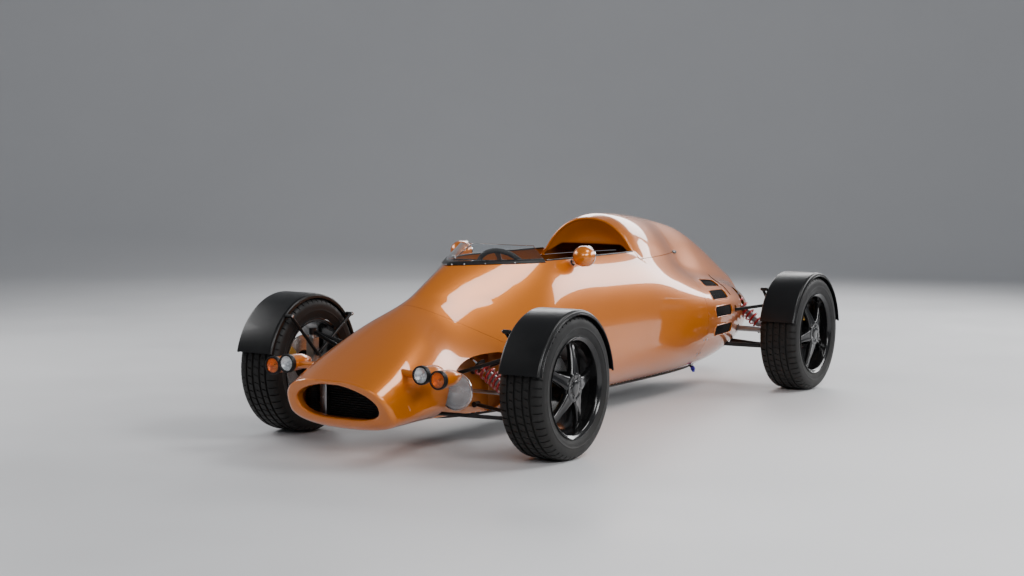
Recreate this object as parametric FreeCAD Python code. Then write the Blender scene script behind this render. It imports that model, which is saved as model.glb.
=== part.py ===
import FreeCAD, Part
import math
import os

V = FreeCAD.Vector
os.makedirs("parts", exist_ok=True)

# Every length is in millimetres. X points forward, Y to the car's left and Z up.
# The origin lies on the ground under the middle of the car.

# Overall layout
length_overall = 3518.0
front_overhang = 640.0
wheelbase = 2460.0
track = 1282.0
running_fit = 0.08
seat_gap = 0.3
cut_overrun = 60.0

# Bodywork
body_half_width = 354.0
hull_height = 868.0
panel_wall = 5.0
shut_gap = 0.6
floor_height = 113.0
floor_plate = 7.0
floor_lip = 6.0
floor_step = 60.0
floor_least_half = 20.0
sill_height = 735.0
hump_front_back = 2040.0
tail_shut_back = 2640.0
cover_line_height = 700.0
nose_shut_height = 584.0
nose_shut_back = 520.0
nose_shut_slope_share = 2.1
nose_shut_low = 400.0
mouth_rake_share = 0.62
mouth_height = 240.0
mouth_back = 55.6
mouth_half = 190.0
mouth_rise = 76.0
mouth_drop = 66.0
mouth_upper_power = 1.8
mouth_lower_power = 3.0
mouth_roll = 14.0
mouth_roll_steps = 5
mouth_lip_depth = 40.0
arch_crest_back = 800.0
arch_half_length = 375.0
arch_base = 130.0
arch_rise = 249.0
arch_power = 2.4
arch_points = 12
arch_rear_back = 890.0
arch_radius = 60.0
arch_floor_drop = 40.0
head_wall_low = 762.0
head_wall = 5.0

# Along, half width, belt, crown and keel as shares of length, body half width and hull height,
# then the powers of the upper and the lower part of the section.
hull_shares = [
    (-0.011, 0.653, 0.217, 0.362, 0.138, 2.50, 2.3),
    (0.0156, 0.695, 0.224, 0.419, 0.139, 2.50, 2.4),
    (0.054, 0.737, 0.236, 0.499, 0.145, 2.45, 2.4),
    (0.111, 0.732, 0.256, 0.612, 0.144, 2.05, 2.4),
    (0.168, 0.718, 0.274, 0.707, 0.134, 1.50, 2.4),
    (0.225, 0.760, 0.301, 0.823, 0.119, 1.47, 2.4),
    (0.290, 0.879, 0.344, 0.935, 0.106, 1.75, 2.4),
    (0.3525, 0.927, 0.384, 0.994, 0.097, 2.40, 2.4),
    (0.466, 0.960, 0.423, 1.000, 0.092, 2.40, 2.4),
    (0.580, 0.994, 0.438, 0.950, 0.092, 2.40, 2.4),
    (0.679, 1.000, 0.435, 0.841, 0.092, 2.20, 2.4),
    (0.765, 0.989, 0.429, 0.737, 0.097, 2.10, 2.3),
    (0.850, 0.932, 0.420, 0.674, 0.121, 2.10, 2.2),
    (0.921, 0.785, 0.417, 0.622, 0.173, 2.10, 2.1),
    (0.978, 0.565, 0.417, 0.565, 0.236, 2.00, 2.0),
    (1.000, 0.400, 0.417, 0.515, 0.285, 2.00, 2.0),
]
# Along, half width and crown of the headrest fairing in the same shares, and its power.
hump_shares = [
    (0.5685, 0.880, 1.014, 2.20),
    (0.6026, 0.876, 1.044, 2.20),
    (0.6709, 0.847, 1.029, 1.95),
    (0.7504, 0.743, 0.991, 1.50),
    (0.8357, 0.636, 0.925, 1.50),
    (0.9068, 0.523, 0.820, 1.50),
    (1.000, 0.367, 0.640, 1.50),
]
blend_share = 0.10
section_points = 40
blend_run = 220.0
floor_search_steps = 30
section_step = 110.0

# Chassis inside the body
tub_wall = 4.0
tub_front_back = 330.0
tub_nose_half = 160.0
tub_nose_top = 402.0
tub_half = 250.0
tub_widen_front_back = 900.0
tub_widen_rear_back = 1010.0
tub_top = 520.0
firewall_back = 2500.0
radiator_back = 190.0
radiator_depth = 40.0
radiator_gap = 0.4
strut_width = 35.0
strut_side = 151.0
strut_depth = 18.0
dash_back = 1130.0
dash_wall = 6.0
dash_low = 560.0

# Cockpit
seat_wall = 8.0
seat_half = 175.0
seat_base_front_back = 1440.0
seat_base_rear_back = 1830.0
seat_base_height = 150.0
seat_back_height = 640.0
seat_back_lean = 110.0
rear_seat_base_front_back = 2130.0
rear_seat_base_rear_back = 2400.0
wheel_rim_radius = 135.0
wheel_rim_tube = 12.0
wheel_hub_radius = 34.0
column_radius = 11.0
column_top_back = 1290.0
column_top_height = 655.0
column_low_back = 760.0
column_low_height = 330.0

# Windscreen and mirrors
screen_wall = 4.0
screen_front_back = 790.0
screen_rear_back = 1225.0
screen_rise = 80.0
screen_rear_rise = 62.0
seal_rise = 9.0
mirror_back = 1420.0
mirror_side = 321.0
mirror_height = 748.0
mirror_radius = 46.0
mirror_length = 62.0
mirror_stalk_radius = 8.0

# Lamps
clear_lamp_back = 166.0
clear_lamp_side = 324.0
clear_lamp_height = 359.0
amber_lamp_back = 171.0
amber_lamp_side = 399.0
amber_lamp_height = 345.0
pod_radius = 34.0
pod_length = 150.0
lens_radius = 30.0
lens_depth = 12.0
pod_arm_radius = 15.0
pod_arm_back = 205.0
headlamp_back = 480.0
headlamp_side = 275.0
headlamp_height = 258.0
headlamp_radius = 74.0
headlamp_rim = 9.0
headlamp_bucket = 60.0
headlamp_dome = 18.0
headlamp_arm_radius = 14.0
headlamp_room = 5.0
rear_lamp_radius = 28.0
rear_lamp_depth = 16.0
rear_lamp_side = 62.0
rear_lamp_height = 372.0

# Vents in the tail, as angles up the section from the level of the belt
vent_back = 2850.0
vent_length = 225.0
vent_height = 51.0
vent_corner = 14.0
vent_angles = [34.0, 20.3, 5.4, -10.3]
mesh_wall = 3.0
mesh_margin = 18.0

# Wheels
tyre_radius = 288.0
tyre_width = 200.0
tyre_bead_radius = 191.0
tyre_shoulder = 34.0
tyre_bulge = 8.0
tyre_wall = 11.0
rim_radius = 202.0
rim_half = 95.0
rim_wall = 6.0
rim_lip = 9.0
spoke_count = 5
spoke_root_half = 30.0
spoke_tip_half = 20.0
spoke_thickness = 20.0
spoke_drop = 38.0
spoke_turn = -7.0
hub_radius = 62.0
hub_face = 92.0
hub_back = 14.0
axle_radius = 17.0
axle_end = 78.0
disc_radius = 125.0
disc_wall = 9.0
disc_offset = -22.0
hat_radius = 58.0
caliper_gap = 2.0
caliper_inner = 84.0
caliper_outer = 138.0
caliper_wall = 16.0
caliper_angle = 22.0
caliper_spread = 40.0

# Mudguards
guard_radius = 308.0
guard_wall = 3.0
guard_outer_half = 98.0
guard_inner_half = 90.0
guard_skirt = 16.0
guard_bead = 5.0
guard_front_angle = 14.0
guard_rear_angle = 172.0
stay_offset = 115.5
stay_radius = 7.0
stay_reach = 300.0
stay_lug_radius = 8.5
stay_lug_end = 2.0
stay_boss_radius = 9.0
stay_angles = [49.0, 137.0]
stay_root_height = 337.0

# Suspension and steering
kingpin_side = 565.0
upright_half = 19.0
upright_low = 157.0
upright_high = 418.0
upright_neck = 12.0
upright_neck_radius = 14.0
caliper_lug = 13.0
lug_boss_share = 0.8
eye_radius = 17.0
eye_height = 28.0
arm_tube = 8.0
foot_radius = 12.0
foot_length = 34.0
cross_tube_side = 430.0
lower_inner_height = 160.0
lower_spread = 150.0
upper_inner_height = 300.0
upper_spread_front = 60.0
upper_spread_back = 140.0
steer_arm_length = 110.0
steer_arm_height = 236.0
steer_arm_wall = 10.0
rack_radius = 15.0
rack_bore = 8.0
damper_radius = 17.0
damper_rod_radius = 7.0
spring_radius = 29.0
spring_wire = 5.5
spring_turns = 7
spring_rings = 8
ring_points = 6
front_spring_start_share = 0.10
front_spring_length_share = 0.58
rear_spring_start_share = 0.14
rear_spring_length_share = 0.68
damper_body_share = 0.55
front_damper_high_height = 385.0
front_damper_low_height = 215.0
damper_bracket_radius = 10.0
damper_eye = 13.0
damper_foot = 24.0
damper_eye_length = 24.0
rear_upright_side = 548.0
rear_upright_low = 219.0
rear_low_tube = 10.5
rail_radius = 12.0
hoop_radius = 9.0
rail_side = 170.0
rail_low_end_back = 3210.0
rail_high_end_back = 3275.0
rail_low_height = 215.0
rail_high_height = 368.0
rear_spread_front = 110.0
rear_spread_back = 80.0
rear_arm_length = 104.0
rear_arm_height = 231.0
rear_damper_side = 425.0
rear_damper_high_behind = 114.0
rear_damper_high_height = 470.0
skin_clearance = 9.0
drive_radius = 14.0
joint_radius = 36.0
joint_length = 60.0

# Power unit
engine_length = 330.0
engine_low = 150.0
engine_high = 560.0
engine_front_back = 2560.0
final_drive_low = 236.0
final_drive_high = 340.0
final_drive_behind = 52.0
pipe_length = 300.0
pipe_height = 300.0
pipe_radius = 24.0
pipe_wall = 2.5

nose_x = length_overall / 2
front_axle_x = nose_x - front_overhang
rear_axle_x = front_axle_x - wheelbase
wheel_y = track / 2
hump_front_x = nose_x - hump_front_back
rack_x = front_axle_x - steer_arm_length
rack_z = steer_arm_height - eye_height / 2 - seat_gap
sides = {"left": 1, "right": -1}


def at(back):
    """The X of a place this far behind the tip of the nose."""
    return nose_x - back


def spline(rows, x):
    """A smooth curve through the rows of a table, read at the share x."""
    last = len(rows) - 2
    i = 0
    while i < last and rows[i + 1][0] < x:
        i += 1
    low, high = rows[i], rows[i + 1]
    before = rows[max(i - 1, 0)]
    after = rows[min(i + 2, len(rows) - 1)]
    span = high[0] - low[0]
    t = (x - low[0]) / span
    values = []
    for k in range(1, len(low)):
        start = (high[k] - before[k]) / (high[0] - before[0]) * span
        end = (after[k] - low[k]) / (after[0] - low[0]) * span
        h00 = 2 * t ** 3 - 3 * t ** 2 + 1
        h10 = t ** 3 - 2 * t ** 2 + t
        h01 = 3 * t ** 2 - 2 * t ** 3
        h11 = t ** 3 - t ** 2
        values.append(h00 * low[k] + h10 * start + h01 * high[k] + h11 * end)
    return values


def oval_radius(half, rise, power, angle):
    """The distance from the middle to a rounded oval in the direction of the angle."""
    across = abs(math.cos(angle)) / half
    up = abs(math.sin(angle)) / rise
    return (across ** power + up ** power) ** (-1 / power)


def section_radius(x, angle, inset, humped):
    """The body's radius about its belt line, and the height of that line."""
    share = (nose_x - x) / length_overall
    half, belt, crown, keel, upper, lower = spline(hull_shares, share)
    half = half * body_half_width
    belt = belt * hull_height
    crown = crown * hull_height
    keel = keel * hull_height
    if math.sin(angle) >= 0:
        radius = oval_radius(half, crown - belt, upper, angle)
    else:
        radius = oval_radius(half, belt - keel, lower, angle)
    if humped and math.sin(angle) > 0 and x < hump_front_x + seat_gap:
        wide, top, power = spline(hump_shares, share)
        hump = oval_radius(wide * body_half_width, top * hull_height - belt, power, angle)
        grown = min(max((hump_front_x - x) / blend_run, 0), 1)
        reach = blend_share * body_half_width * grown * (2 - grown)
        near = 0.0
        if reach > 0:
            near = max(reach - abs(radius - hump), 0) / reach
        radius = max(radius, hump) + near * near * reach / 4
    return radius - inset, belt


def body_solid(inset, humped, low_x, high_x):
    """The body's outer form, or the form that lies this far inside it, between two places."""
    count = max(4, int(math.ceil((high_x - low_x) / section_step)))
    knots = [j / section_points for j in range(section_points + 1)]
    rings = []
    for i in range(count + 1):
        x = low_x + (high_x - low_x) * i / count
        points = []
        for j in range(section_points):
            angle = -math.pi / 2 + 2 * math.pi * j / section_points
            radius, belt = section_radius(x, angle, inset, humped)
            points.append(V(x, radius * math.cos(angle), belt + radius * math.sin(angle)))
        ring = Part.BSplineCurve()
        ring.interpolate(Points=points, PeriodicFlag=True, Parameters=knots)
        rings.append(Part.Wire(ring.toShape()))
    return Part.makeLoft(rings, True, False)


def box(low, high):
    """A box between two opposite corners."""
    return Part.makeBox(high[0] - low[0], high[1] - low[1], high[2] - low[2], V(*low))


def rod(start, end, radius):
    """A round bar between two points."""
    line = end - start
    return Part.makeCylinder(radius, line.Length, start, line)


def prism(points, direction):
    """A flat outline through the points, pushed along the direction."""
    wire = Part.makePolygon(points + [points[0]])
    return Part.Face(wire).extrude(direction)


def turned(points, centre, axis):
    """A closed outline turned a full circle about an axis."""
    wire = Part.makePolygon(points + [points[0]])
    return Part.Face(wire).revolve(centre, axis, 360)


def mirrored(shape):
    """The same shape on the other side of the car."""
    return shape.mirror(V(0, 0, 0), V(0, 1, 0))


def joined(shapes):
    """One solid made of pieces that meet."""
    whole = shapes[0]
    for shape in shapes[1:]:
        whole = whole.fuse(shape)
    return whole.removeSplitter()


def both_sides(shape):
    """A shape and its mirror image, as separate solids."""
    return Part.makeCompound([shape, mirrored(shape)])


def save(shape, name):
    """Writes one piece."""
    shape.exportStep("parts/" + name + ".step")


# The body's outer and inner forms, whole and behind the headrest's front face, and the room round it
tail_shut_x = at(tail_shut_back)
tail_x = at(length_overall)
front_end_x = nose_x + mouth_back
whole_outer = body_solid(0, True, tail_shut_x - cut_overrun, front_end_x)
whole_inner = body_solid(panel_wall, True, tail_shut_x - 2 * cut_overrun, front_end_x + cut_overrun)
whole_room = body_solid(-seat_gap, True, tail_shut_x - cut_overrun, front_end_x)
rear_outer = body_solid(0, True, tail_x, hump_front_x)
rear_inner = body_solid(panel_wall, True, tail_x + panel_wall, hump_front_x + cut_overrun)
below_floor = box((tail_x - cut_overrun, -wheel_y, -cut_overrun),
                  (nose_x + front_overhang, wheel_y, floor_height))
whole_shell = whole_outer.cut(whole_inner).cut(below_floor)
rear_shell = rear_outer.cut(rear_inner).cut(below_floor)


def mouth_plane(behind):
    """The space ahead of the leaning plane of the mouth, with the plane moved this far back."""
    tilt = mouth_rake_share * wheel_y
    base = at(mouth_back + behind)
    low = V(base - tilt, -wheel_y, mouth_height - wheel_y)
    high = V(base + tilt, -wheel_y, mouth_height + wheel_y)
    reach = V(2 * wheel_y, 0, 0)
    return prism([low, low + reach, high + reach, high], V(0, 2 * wheel_y, 0))


def mouth_ring(depth, grow):
    """The mouth's outline this far behind its leaning plane, larger by the amount given."""
    knots = [j / section_points for j in range(section_points + 1)]
    points = []
    for j in range(section_points):
        angle = -math.pi / 2 + 2 * math.pi * j / section_points
        rise, power = mouth_rise, mouth_upper_power
        if math.sin(angle) < 0:
            rise, power = mouth_drop, mouth_lower_power
        radius = oval_radius(mouth_half + grow, rise + grow, power, angle)
        z = mouth_height + radius * math.sin(angle)
        x = at(mouth_back + depth) + mouth_rake_share * (z - mouth_height)
        points.append(V(x, radius * math.cos(angle), z))
    ring = Part.BSplineCurve()
    ring.interpolate(Points=points, PeriodicFlag=True, Parameters=knots)
    return Part.Wire(ring.toShape())


def mouth_cutter():
    """The mouth's opening with its rolled edge, run past both faces of the lip."""
    rings = [mouth_ring(-cut_overrun, mouth_roll)]
    for i in range(mouth_roll_steps + 1):
        turn = math.pi / 2 * (1 - i / mouth_roll_steps)
        rings.append(mouth_ring(mouth_roll * (1 - math.sin(turn)), mouth_roll * (1 - math.cos(turn))))
    rings.append(mouth_ring(2 * mouth_lip_depth, 0))
    return Part.makeLoft(rings, True, True)


def nose_side(gap):
    """The space ahead of the leaning shut line behind the nose, with the line moved forward by the gap."""
    top_x = at(nose_shut_back) + gap
    reach_z = wheel_y
    high = V(top_x + nose_shut_slope_share * reach_z, -wheel_y, nose_shut_height + reach_z)
    drop = nose_shut_height - nose_shut_low
    knee = V(top_x - nose_shut_slope_share * drop, -wheel_y, nose_shut_low)
    foot = V(knee.x, -wheel_y, -cut_overrun)
    front_low = V(nose_x + wheel_y, -wheel_y, -cut_overrun)
    front_high = V(nose_x + wheel_y, -wheel_y, high.z)
    far = V(nose_x + 2 * wheel_y, -wheel_y, high.z)
    return prism([foot, knee, high, far, front_low], V(0, 2 * wheel_y, 0))


def wheel_arch():
    """The opening in the left flank for the front suspension, from the tub's side outward."""
    y = tub_nose_half
    low = floor_height - arch_floor_drop
    crest_x = at(arch_crest_back)
    crest = arch_base + arch_rise
    points = []
    for i in range(arch_points + 1):
        turn = math.pi / 2 * i / arch_points
        along = arch_half_length * math.cos(turn) ** (2 / arch_power)
        up = arch_rise * math.sin(turn) ** (2 / arch_power)
        points.append(V(crest_x + along, y, arch_base + up))
    front = Part.BSplineCurve()
    front.interpolate(points)
    rear_x = at(arch_rear_back)
    knee = V(rear_x + arch_radius, y, crest)
    bend = V(rear_x + arch_radius * (1 - math.sqrt(1 / 2)), y, crest - arch_radius * (1 - math.sqrt(1 / 2)))
    rear_high = V(rear_x, y, crest - arch_radius)
    rear_low = V(rear_x, y, low)
    front_low = V(points[0].x, y, low)
    edges = [
        front.toShape(), Part.makeLine(points[-1], knee), Part.Arc(knee, bend, rear_high).toShape(),
        Part.makeLine(rear_high, rear_low), Part.makeLine(rear_low, front_low),
        Part.makeLine(front_low, points[0]),
    ]
    return Part.Face(Part.Wire(edges)).extrude(V(0, wheel_y, 0))


arch = wheel_arch()
headlamp_centre = V(at(headlamp_back), headlamp_side, headlamp_height)
dome_radius = (headlamp_radius ** 2 + headlamp_dome ** 2) / (2 * headlamp_dome)
dome_middle = headlamp_centre + V(headlamp_dome - dome_radius, 0, 0)
dome_space = box((headlamp_centre.x, 0, 0), (nose_x, wheel_y, hull_height))
lamp_room = Part.makeSphere(dome_radius + headlamp_room, dome_middle).common(dome_space)
lamp_room = lamp_room.fuse(Part.makeCylinder(headlamp_radius + headlamp_room, 2 * headlamp_bucket,
                                             headlamp_centre, V(-1, 0, 0)))

# Nose panel with its rolled mouth, solid from the mouth's plane to the back of the lip
nose_cavity = whole_inner.cut(mouth_plane(mouth_lip_depth))
nose = whole_outer.common(nose_side(shut_gap)).cut(nose_cavity)
nose = nose.cut(below_floor).cut(mouth_plane(0)).cut(mouth_cutter())
for cutter in (arch, mirrored(arch), lamp_room, mirrored(lamp_room)):
    nose = nose.cut(cutter)
save(nose, "nose_panel")

# Main body with the cockpit opening
opening = box((hump_front_x, -wheel_y, sill_height), (nose_x, wheel_y, 2 * hull_height))
above_cover = box((tail_x - cut_overrun, -wheel_y, cover_line_height),
                  (hump_front_x, wheel_y, 2 * hull_height))
behind_shut = box((tail_x - cut_overrun, -wheel_y, 0), (tail_shut_x + shut_gap, wheel_y, 2 * hull_height))
main_body = whole_shell.cut(nose_side(0))
for cutter in (arch, mirrored(arch), opening, above_cover, behind_shut):
    main_body = main_body.cut(cutter)
save(main_body, "main_body")

# Headrest fairing over the rear of the cockpit
cover_space = box((tail_shut_x + shut_gap, -wheel_y, cover_line_height + shut_gap),
                  (hump_front_x, wheel_y, 2 * hull_height))
fairing = rear_shell.common(cover_space)
face_space = box((hump_front_x - head_wall, -wheel_y, head_wall_low),
                 (hump_front_x, wheel_y, 2 * hull_height))
fairing = fairing.fuse(rear_outer.common(face_space))
save(fairing, "headrest_fairing")

# Tail with its vents
tail_space = box((tail_x - cut_overrun, -wheel_y, 0), (tail_shut_x, wheel_y, 2 * hull_height))
tail = rear_shell.common(tail_space)


vent_x = at(vent_back)
vent_belt = section_radius(vent_x, 0, 0, True)[1]


def vent_cutter(angle, grow):
    """A rounded slot through the tail's side at this angle, larger by the amount given."""
    half = vent_length / 2 + grow
    rise = vent_height / 2 + grow
    block = box((vent_x - half, tub_nose_half, -rise), (vent_x + half, wheel_y, rise))
    edges = [e for e in block.Edges if abs(e.Vertexes[0].Point.y - e.Vertexes[-1].Point.y) > vent_corner]
    slot = block.makeFillet(vent_corner, edges)
    slot.rotate(V(0, 0, 0), V(1, 0, 0), angle)
    slot.translate(V(0, 0, vent_belt))
    return slot


for angle in vent_angles:
    vent = vent_cutter(angle, 0)
    tail = tail.cut(vent).cut(mirrored(vent))

# Mesh behind the vents
mesh_outer = body_solid(panel_wall + seat_gap, True, tail_x + cut_overrun, tail_shut_x)
mesh_inset = panel_wall + seat_gap + mesh_wall
mesh_inner = body_solid(mesh_inset, True, tail_x + cut_overrun / 2, tail_shut_x + cut_overrun)
mesh_skin = mesh_outer.cut(mesh_inner)
mesh_pads = [mesh_skin.common(vent_cutter(angle, mesh_margin)) for angle in vent_angles]
save(both_sides(joined(mesh_pads)), "vent_mesh")

# Floor plate with its thin lip, outlined where the body meets the floor's level
def floor_half(x, humped):
    """Half the body's width at the floor's level, or zero where the keel lies above it."""
    low, high = -math.pi / 2, 0.0
    radius, belt = section_radius(x, low, 0, humped)
    if belt - radius >= floor_height:
        return 0.0
    for _ in range(floor_search_steps):
        middle = (low + high) / 2
        radius, belt = section_radius(x, middle, 0, humped)
        if belt + radius * math.sin(middle) < floor_height:
            low = middle
        else:
            high = middle
    return radius * math.cos(middle)


floor_points = []
floor_count = int(length_overall / floor_step)
for i in range(floor_count + 1):
    x = tail_x + length_overall * i / floor_count
    half = floor_half(x, False)
    if half > floor_least_half:
        floor_points.append(V(x, half + floor_lip, floor_height - floor_plate))
floor_edge = Part.BSplineCurve()
floor_edge.interpolate(floor_points)
left_edge = floor_edge.toShape()
right_edge = mirrored(left_edge)
flip = [V(p.x, -p.y, p.z) for p in floor_points]
ends = [Part.makeLine(floor_points[0], flip[0]), Part.makeLine(floor_points[-1], flip[-1])]
floor_wire = Part.Wire(Part.__sortEdges__([left_edge, ends[1], right_edge, ends[0]]))
save(Part.Face(floor_wire).extrude(V(0, 0, floor_plate)), "floor_plate")

# Tub that carries the suspension, the seats and the engine
inside_front = body_solid(panel_wall + seat_gap, False, hump_front_x - seat_gap, nose_x)
inside_rear = body_solid(panel_wall + seat_gap, True, tail_x + panel_wall + seat_gap, hump_front_x - seat_gap)
inside = inside_front.fuse(inside_rear).cut(below_floor)


def tub_outline(grow):
    """The tub's outline seen from above, larger by the amount given."""
    front = at(tub_front_back) + grow
    rear = at(firewall_back) - grow
    narrow = tub_nose_half + grow
    wide = tub_half + grow
    return [
        V(front, -narrow, 0), V(at(tub_widen_front_back), -narrow, 0), V(at(tub_widen_rear_back), -wide, 0),
        V(rear, -wide, 0), V(rear, wide, 0), V(at(tub_widen_rear_back), wide, 0),
        V(at(tub_widen_front_back), narrow, 0), V(front, narrow, 0),
    ]


def tub_block(grow, low, high):
    """The tub's outline as a block between two heights."""
    points = [p + V(0, 0, low) for p in tub_outline(grow)]
    return prism(points, V(0, 0, high - low))


tub_body = tub_block(0, floor_height, tub_top)
tub_hollow = tub_block(-tub_wall, floor_height + tub_wall, tub_top + cut_overrun)
tub = tub_body.cut(tub_hollow)
nose_box_cut = box((at(tub_widen_front_back), -wheel_y, tub_nose_top), (nose_x, wheel_y, hull_height))
tub = tub.cut(nose_box_cut).common(inside)
rack_hole = rod(V(rack_x, -wheel_y, rack_z), V(rack_x, wheel_y, rack_z), rack_radius + seat_gap)
tub = tub.cut(rack_hole)
save(tub, "chassis_tub")

# Radiator behind the mouth, with an upright strut before each of its ends
radiator_x = at(radiator_back)
radiator_block = box((radiator_x - radiator_depth, -wheel_y, floor_height),
                     (radiator_x, wheel_y, hull_height))
radiator_room = body_solid(panel_wall + radiator_gap, False, radiator_x - 2 * radiator_depth, nose_x)
radiator = radiator_block.common(radiator_room)
save(radiator, "radiator")
strut_block = box((radiator_x + seat_gap, strut_side - strut_width / 2, floor_height),
                  (radiator_x + seat_gap + strut_depth, strut_side + strut_width / 2, hull_height))
save(both_sides(strut_block.common(radiator_room)), "nose_strut")

# Dashboard across the front of the cockpit
dash_x = at(dash_back)
dash_block = box((dash_x - dash_wall, -wheel_y, dash_low), (dash_x, wheel_y, hull_height))
dash_room = body_solid(panel_wall + radiator_gap, False, dash_x - cut_overrun, dash_x + cut_overrun)
dash = dash_block.common(dash_room).cut(opening)
column_low = V(at(column_low_back), 0, column_low_height)
column_high = V(at(column_top_back), 0, column_top_height)
dash = dash.cut(rod(column_low, column_high, column_radius + running_fit))
save(dash, "dashboard")

# Steering wheel on its column
column_line = column_high - column_low
column_line.normalize()
column = rod(column_low, column_high, column_radius)
wheel_ring = Part.makeTorus(wheel_rim_radius, wheel_rim_tube, column_high, column_line)
hub_low = column_high - column_line * wheel_rim_tube / 2
wheel_hub = Part.makeCylinder(wheel_hub_radius, wheel_rim_tube, hub_low, column_line)
across = V(0, 1, 0)
up = column_line.cross(across) * -1
spokes = []
for turn in (0, 120, 240):
    way = across * math.sin(math.radians(turn)) + up * -math.cos(math.radians(turn))
    spokes.append(rod(column_high, column_high + way * wheel_rim_radius, wheel_rim_tube / 2))
steering_wheel = joined([column, wheel_hub, wheel_ring] + spokes)
save(steering_wheel, "steering_wheel")


def seat(base_front, base_rear):
    """A thin shell seat with its base on the tub's floor."""
    front = at(base_front)
    rear = at(base_rear)
    low = floor_height + tub_wall
    top = rear - seat_back_lean
    outline = [
        V(front, -seat_half, low), V(front, -seat_half, seat_base_height),
        V(rear, -seat_half, seat_base_height), V(top, -seat_half, seat_back_height),
        V(top - seat_wall, -seat_half, seat_back_height), V(rear - seat_wall, -seat_half, low),
    ]
    return prism(outline, V(0, 2 * seat_half, 0))


save(seat(seat_base_front_back, seat_base_rear_back), "front_seat")
save(seat(rear_seat_base_front_back, rear_seat_base_rear_back).common(inside), "rear_seat")

# Windscreen and its seal, on the rim of the cockpit opening
screen_end_x = at(screen_front_back) + cut_overrun
screen_outer = body_solid(0, False, at(screen_rear_back), screen_end_x)
screen_inner = body_solid(screen_wall, False, at(screen_rear_back) - cut_overrun, screen_end_x + cut_overrun)
screen_skin = screen_outer.cut(screen_inner)
screen_front_x = at(screen_front_back)
screen_rear_x = at(screen_rear_back)
glass_low = sill_height + seal_rise
glass_side = [
    V(screen_front_x + cut_overrun, -wheel_y, glass_low), V(screen_rear_x, -wheel_y, glass_low),
    V(screen_rear_x, -wheel_y, sill_height + screen_rear_rise),
    V(screen_front_x + cut_overrun, -wheel_y, sill_height + screen_rise),
]
save(screen_skin.common(prism(glass_side, V(0, 2 * wheel_y, 0))), "windscreen")
seal_slab = box((screen_rear_x, -wheel_y, sill_height), (screen_front_x + cut_overrun, wheel_y, glass_low))
save(screen_skin.common(seal_slab), "windscreen_seal")

# Round mirrors on short stalks
mirror_centre = V(at(mirror_back), mirror_side, mirror_height)
mirror_back_end = mirror_centre - V(mirror_length / 2, 0, 0)
mirror_head = Part.makeCylinder(mirror_radius, mirror_length / 2, mirror_back_end, V(1, 0, 0))
mirror_nose = Part.makeSphere(mirror_radius, mirror_centre)
mirror_front = box((mirror_centre.x, -wheel_y, 0), (nose_x, wheel_y, hull_height + cut_overrun))
mirror_bowl = mirror_head.fuse(mirror_nose.common(mirror_front))
stalk_foot = V(mirror_centre.x, mirror_side / 2, mirror_height - 2 * mirror_radius)
mirror = mirror_bowl.fuse(rod(mirror_centre, stalk_foot, mirror_stalk_radius)).cut(whole_room)
mirror_solid = max(mirror.Solids, key=lambda s: s.Volume)
save(both_sides(mirror_solid), "mirrors")

# Twin lamp pods beside the nose
clear_centre = V(at(clear_lamp_back), clear_lamp_side, clear_lamp_height)
amber_centre = V(at(amber_lamp_back), amber_lamp_side, amber_lamp_height)


def pod(centre):
    """A bullet with its flat face forward."""
    barrel = pod_length / 2
    tube = Part.makeCylinder(pod_radius, barrel, centre - V(barrel, 0, 0), V(1, 0, 0))
    tail_end = Part.makeCone(pod_radius, pod_radius / 3, barrel, centre - V(barrel, 0, 0), V(-1, 0, 0))
    return tube.fuse(tail_end)


arm_x = at(pod_arm_back)
arm_start = V(arm_x, clear_lamp_side / 2, clear_lamp_height)
pod_arm = rod(arm_start, V(arm_x, amber_lamp_side, amber_lamp_height), pod_arm_radius)
pods = pod(clear_centre).fuse(pod(amber_centre)).fuse(pod_arm).cut(whole_room)
pods = max(pods.Solids, key=lambda s: s.Volume)
save(both_sides(pods), "lamp_pods")
clear_lens = Part.makeCylinder(lens_radius, lens_depth, clear_centre, V(1, 0, 0))
amber_lens = Part.makeCylinder(lens_radius, lens_depth, amber_centre, V(1, 0, 0))
save(both_sides(clear_lens), "clear_lenses")
save(both_sides(amber_lens), "amber_lenses")

# Headlamps inside the flank openings, each on a bracket from the tub
bucket = Part.makeCylinder(headlamp_radius, headlamp_rim, headlamp_centre, V(-1, 0, 0))
bowl = Part.makeSphere(headlamp_bucket, headlamp_centre - V(headlamp_rim, 0, 0))
bowl = bowl.common(box((headlamp_centre.x - 2 * headlamp_radius, 0, 0),
                       (headlamp_centre.x - headlamp_rim, wheel_y, hull_height)))
dome = Part.makeSphere(dome_radius, dome_middle).common(dome_space)
bracket_x = headlamp_centre.x - headlamp_rim - headlamp_bucket / 2
bracket_foot = V(bracket_x, tub_nose_half, headlamp_height)
bracket_end = V(bracket_x, headlamp_side, headlamp_height)
bracket = rod(bracket_foot, bracket_end, headlamp_arm_radius)
save(both_sides(joined([bucket, bowl, bracket])), "headlamps")
save(both_sides(dome), "headlamp_lenses")

# Rear lamps on the tail's end
rear_lamp_centre = V(tail_x, rear_lamp_side, rear_lamp_height)
rear_lamp = Part.makeCylinder(rear_lamp_radius, rear_lamp_depth, rear_lamp_centre, V(1, 0, 0))
save(both_sides(rear_lamp), "rear_lamps")


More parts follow.
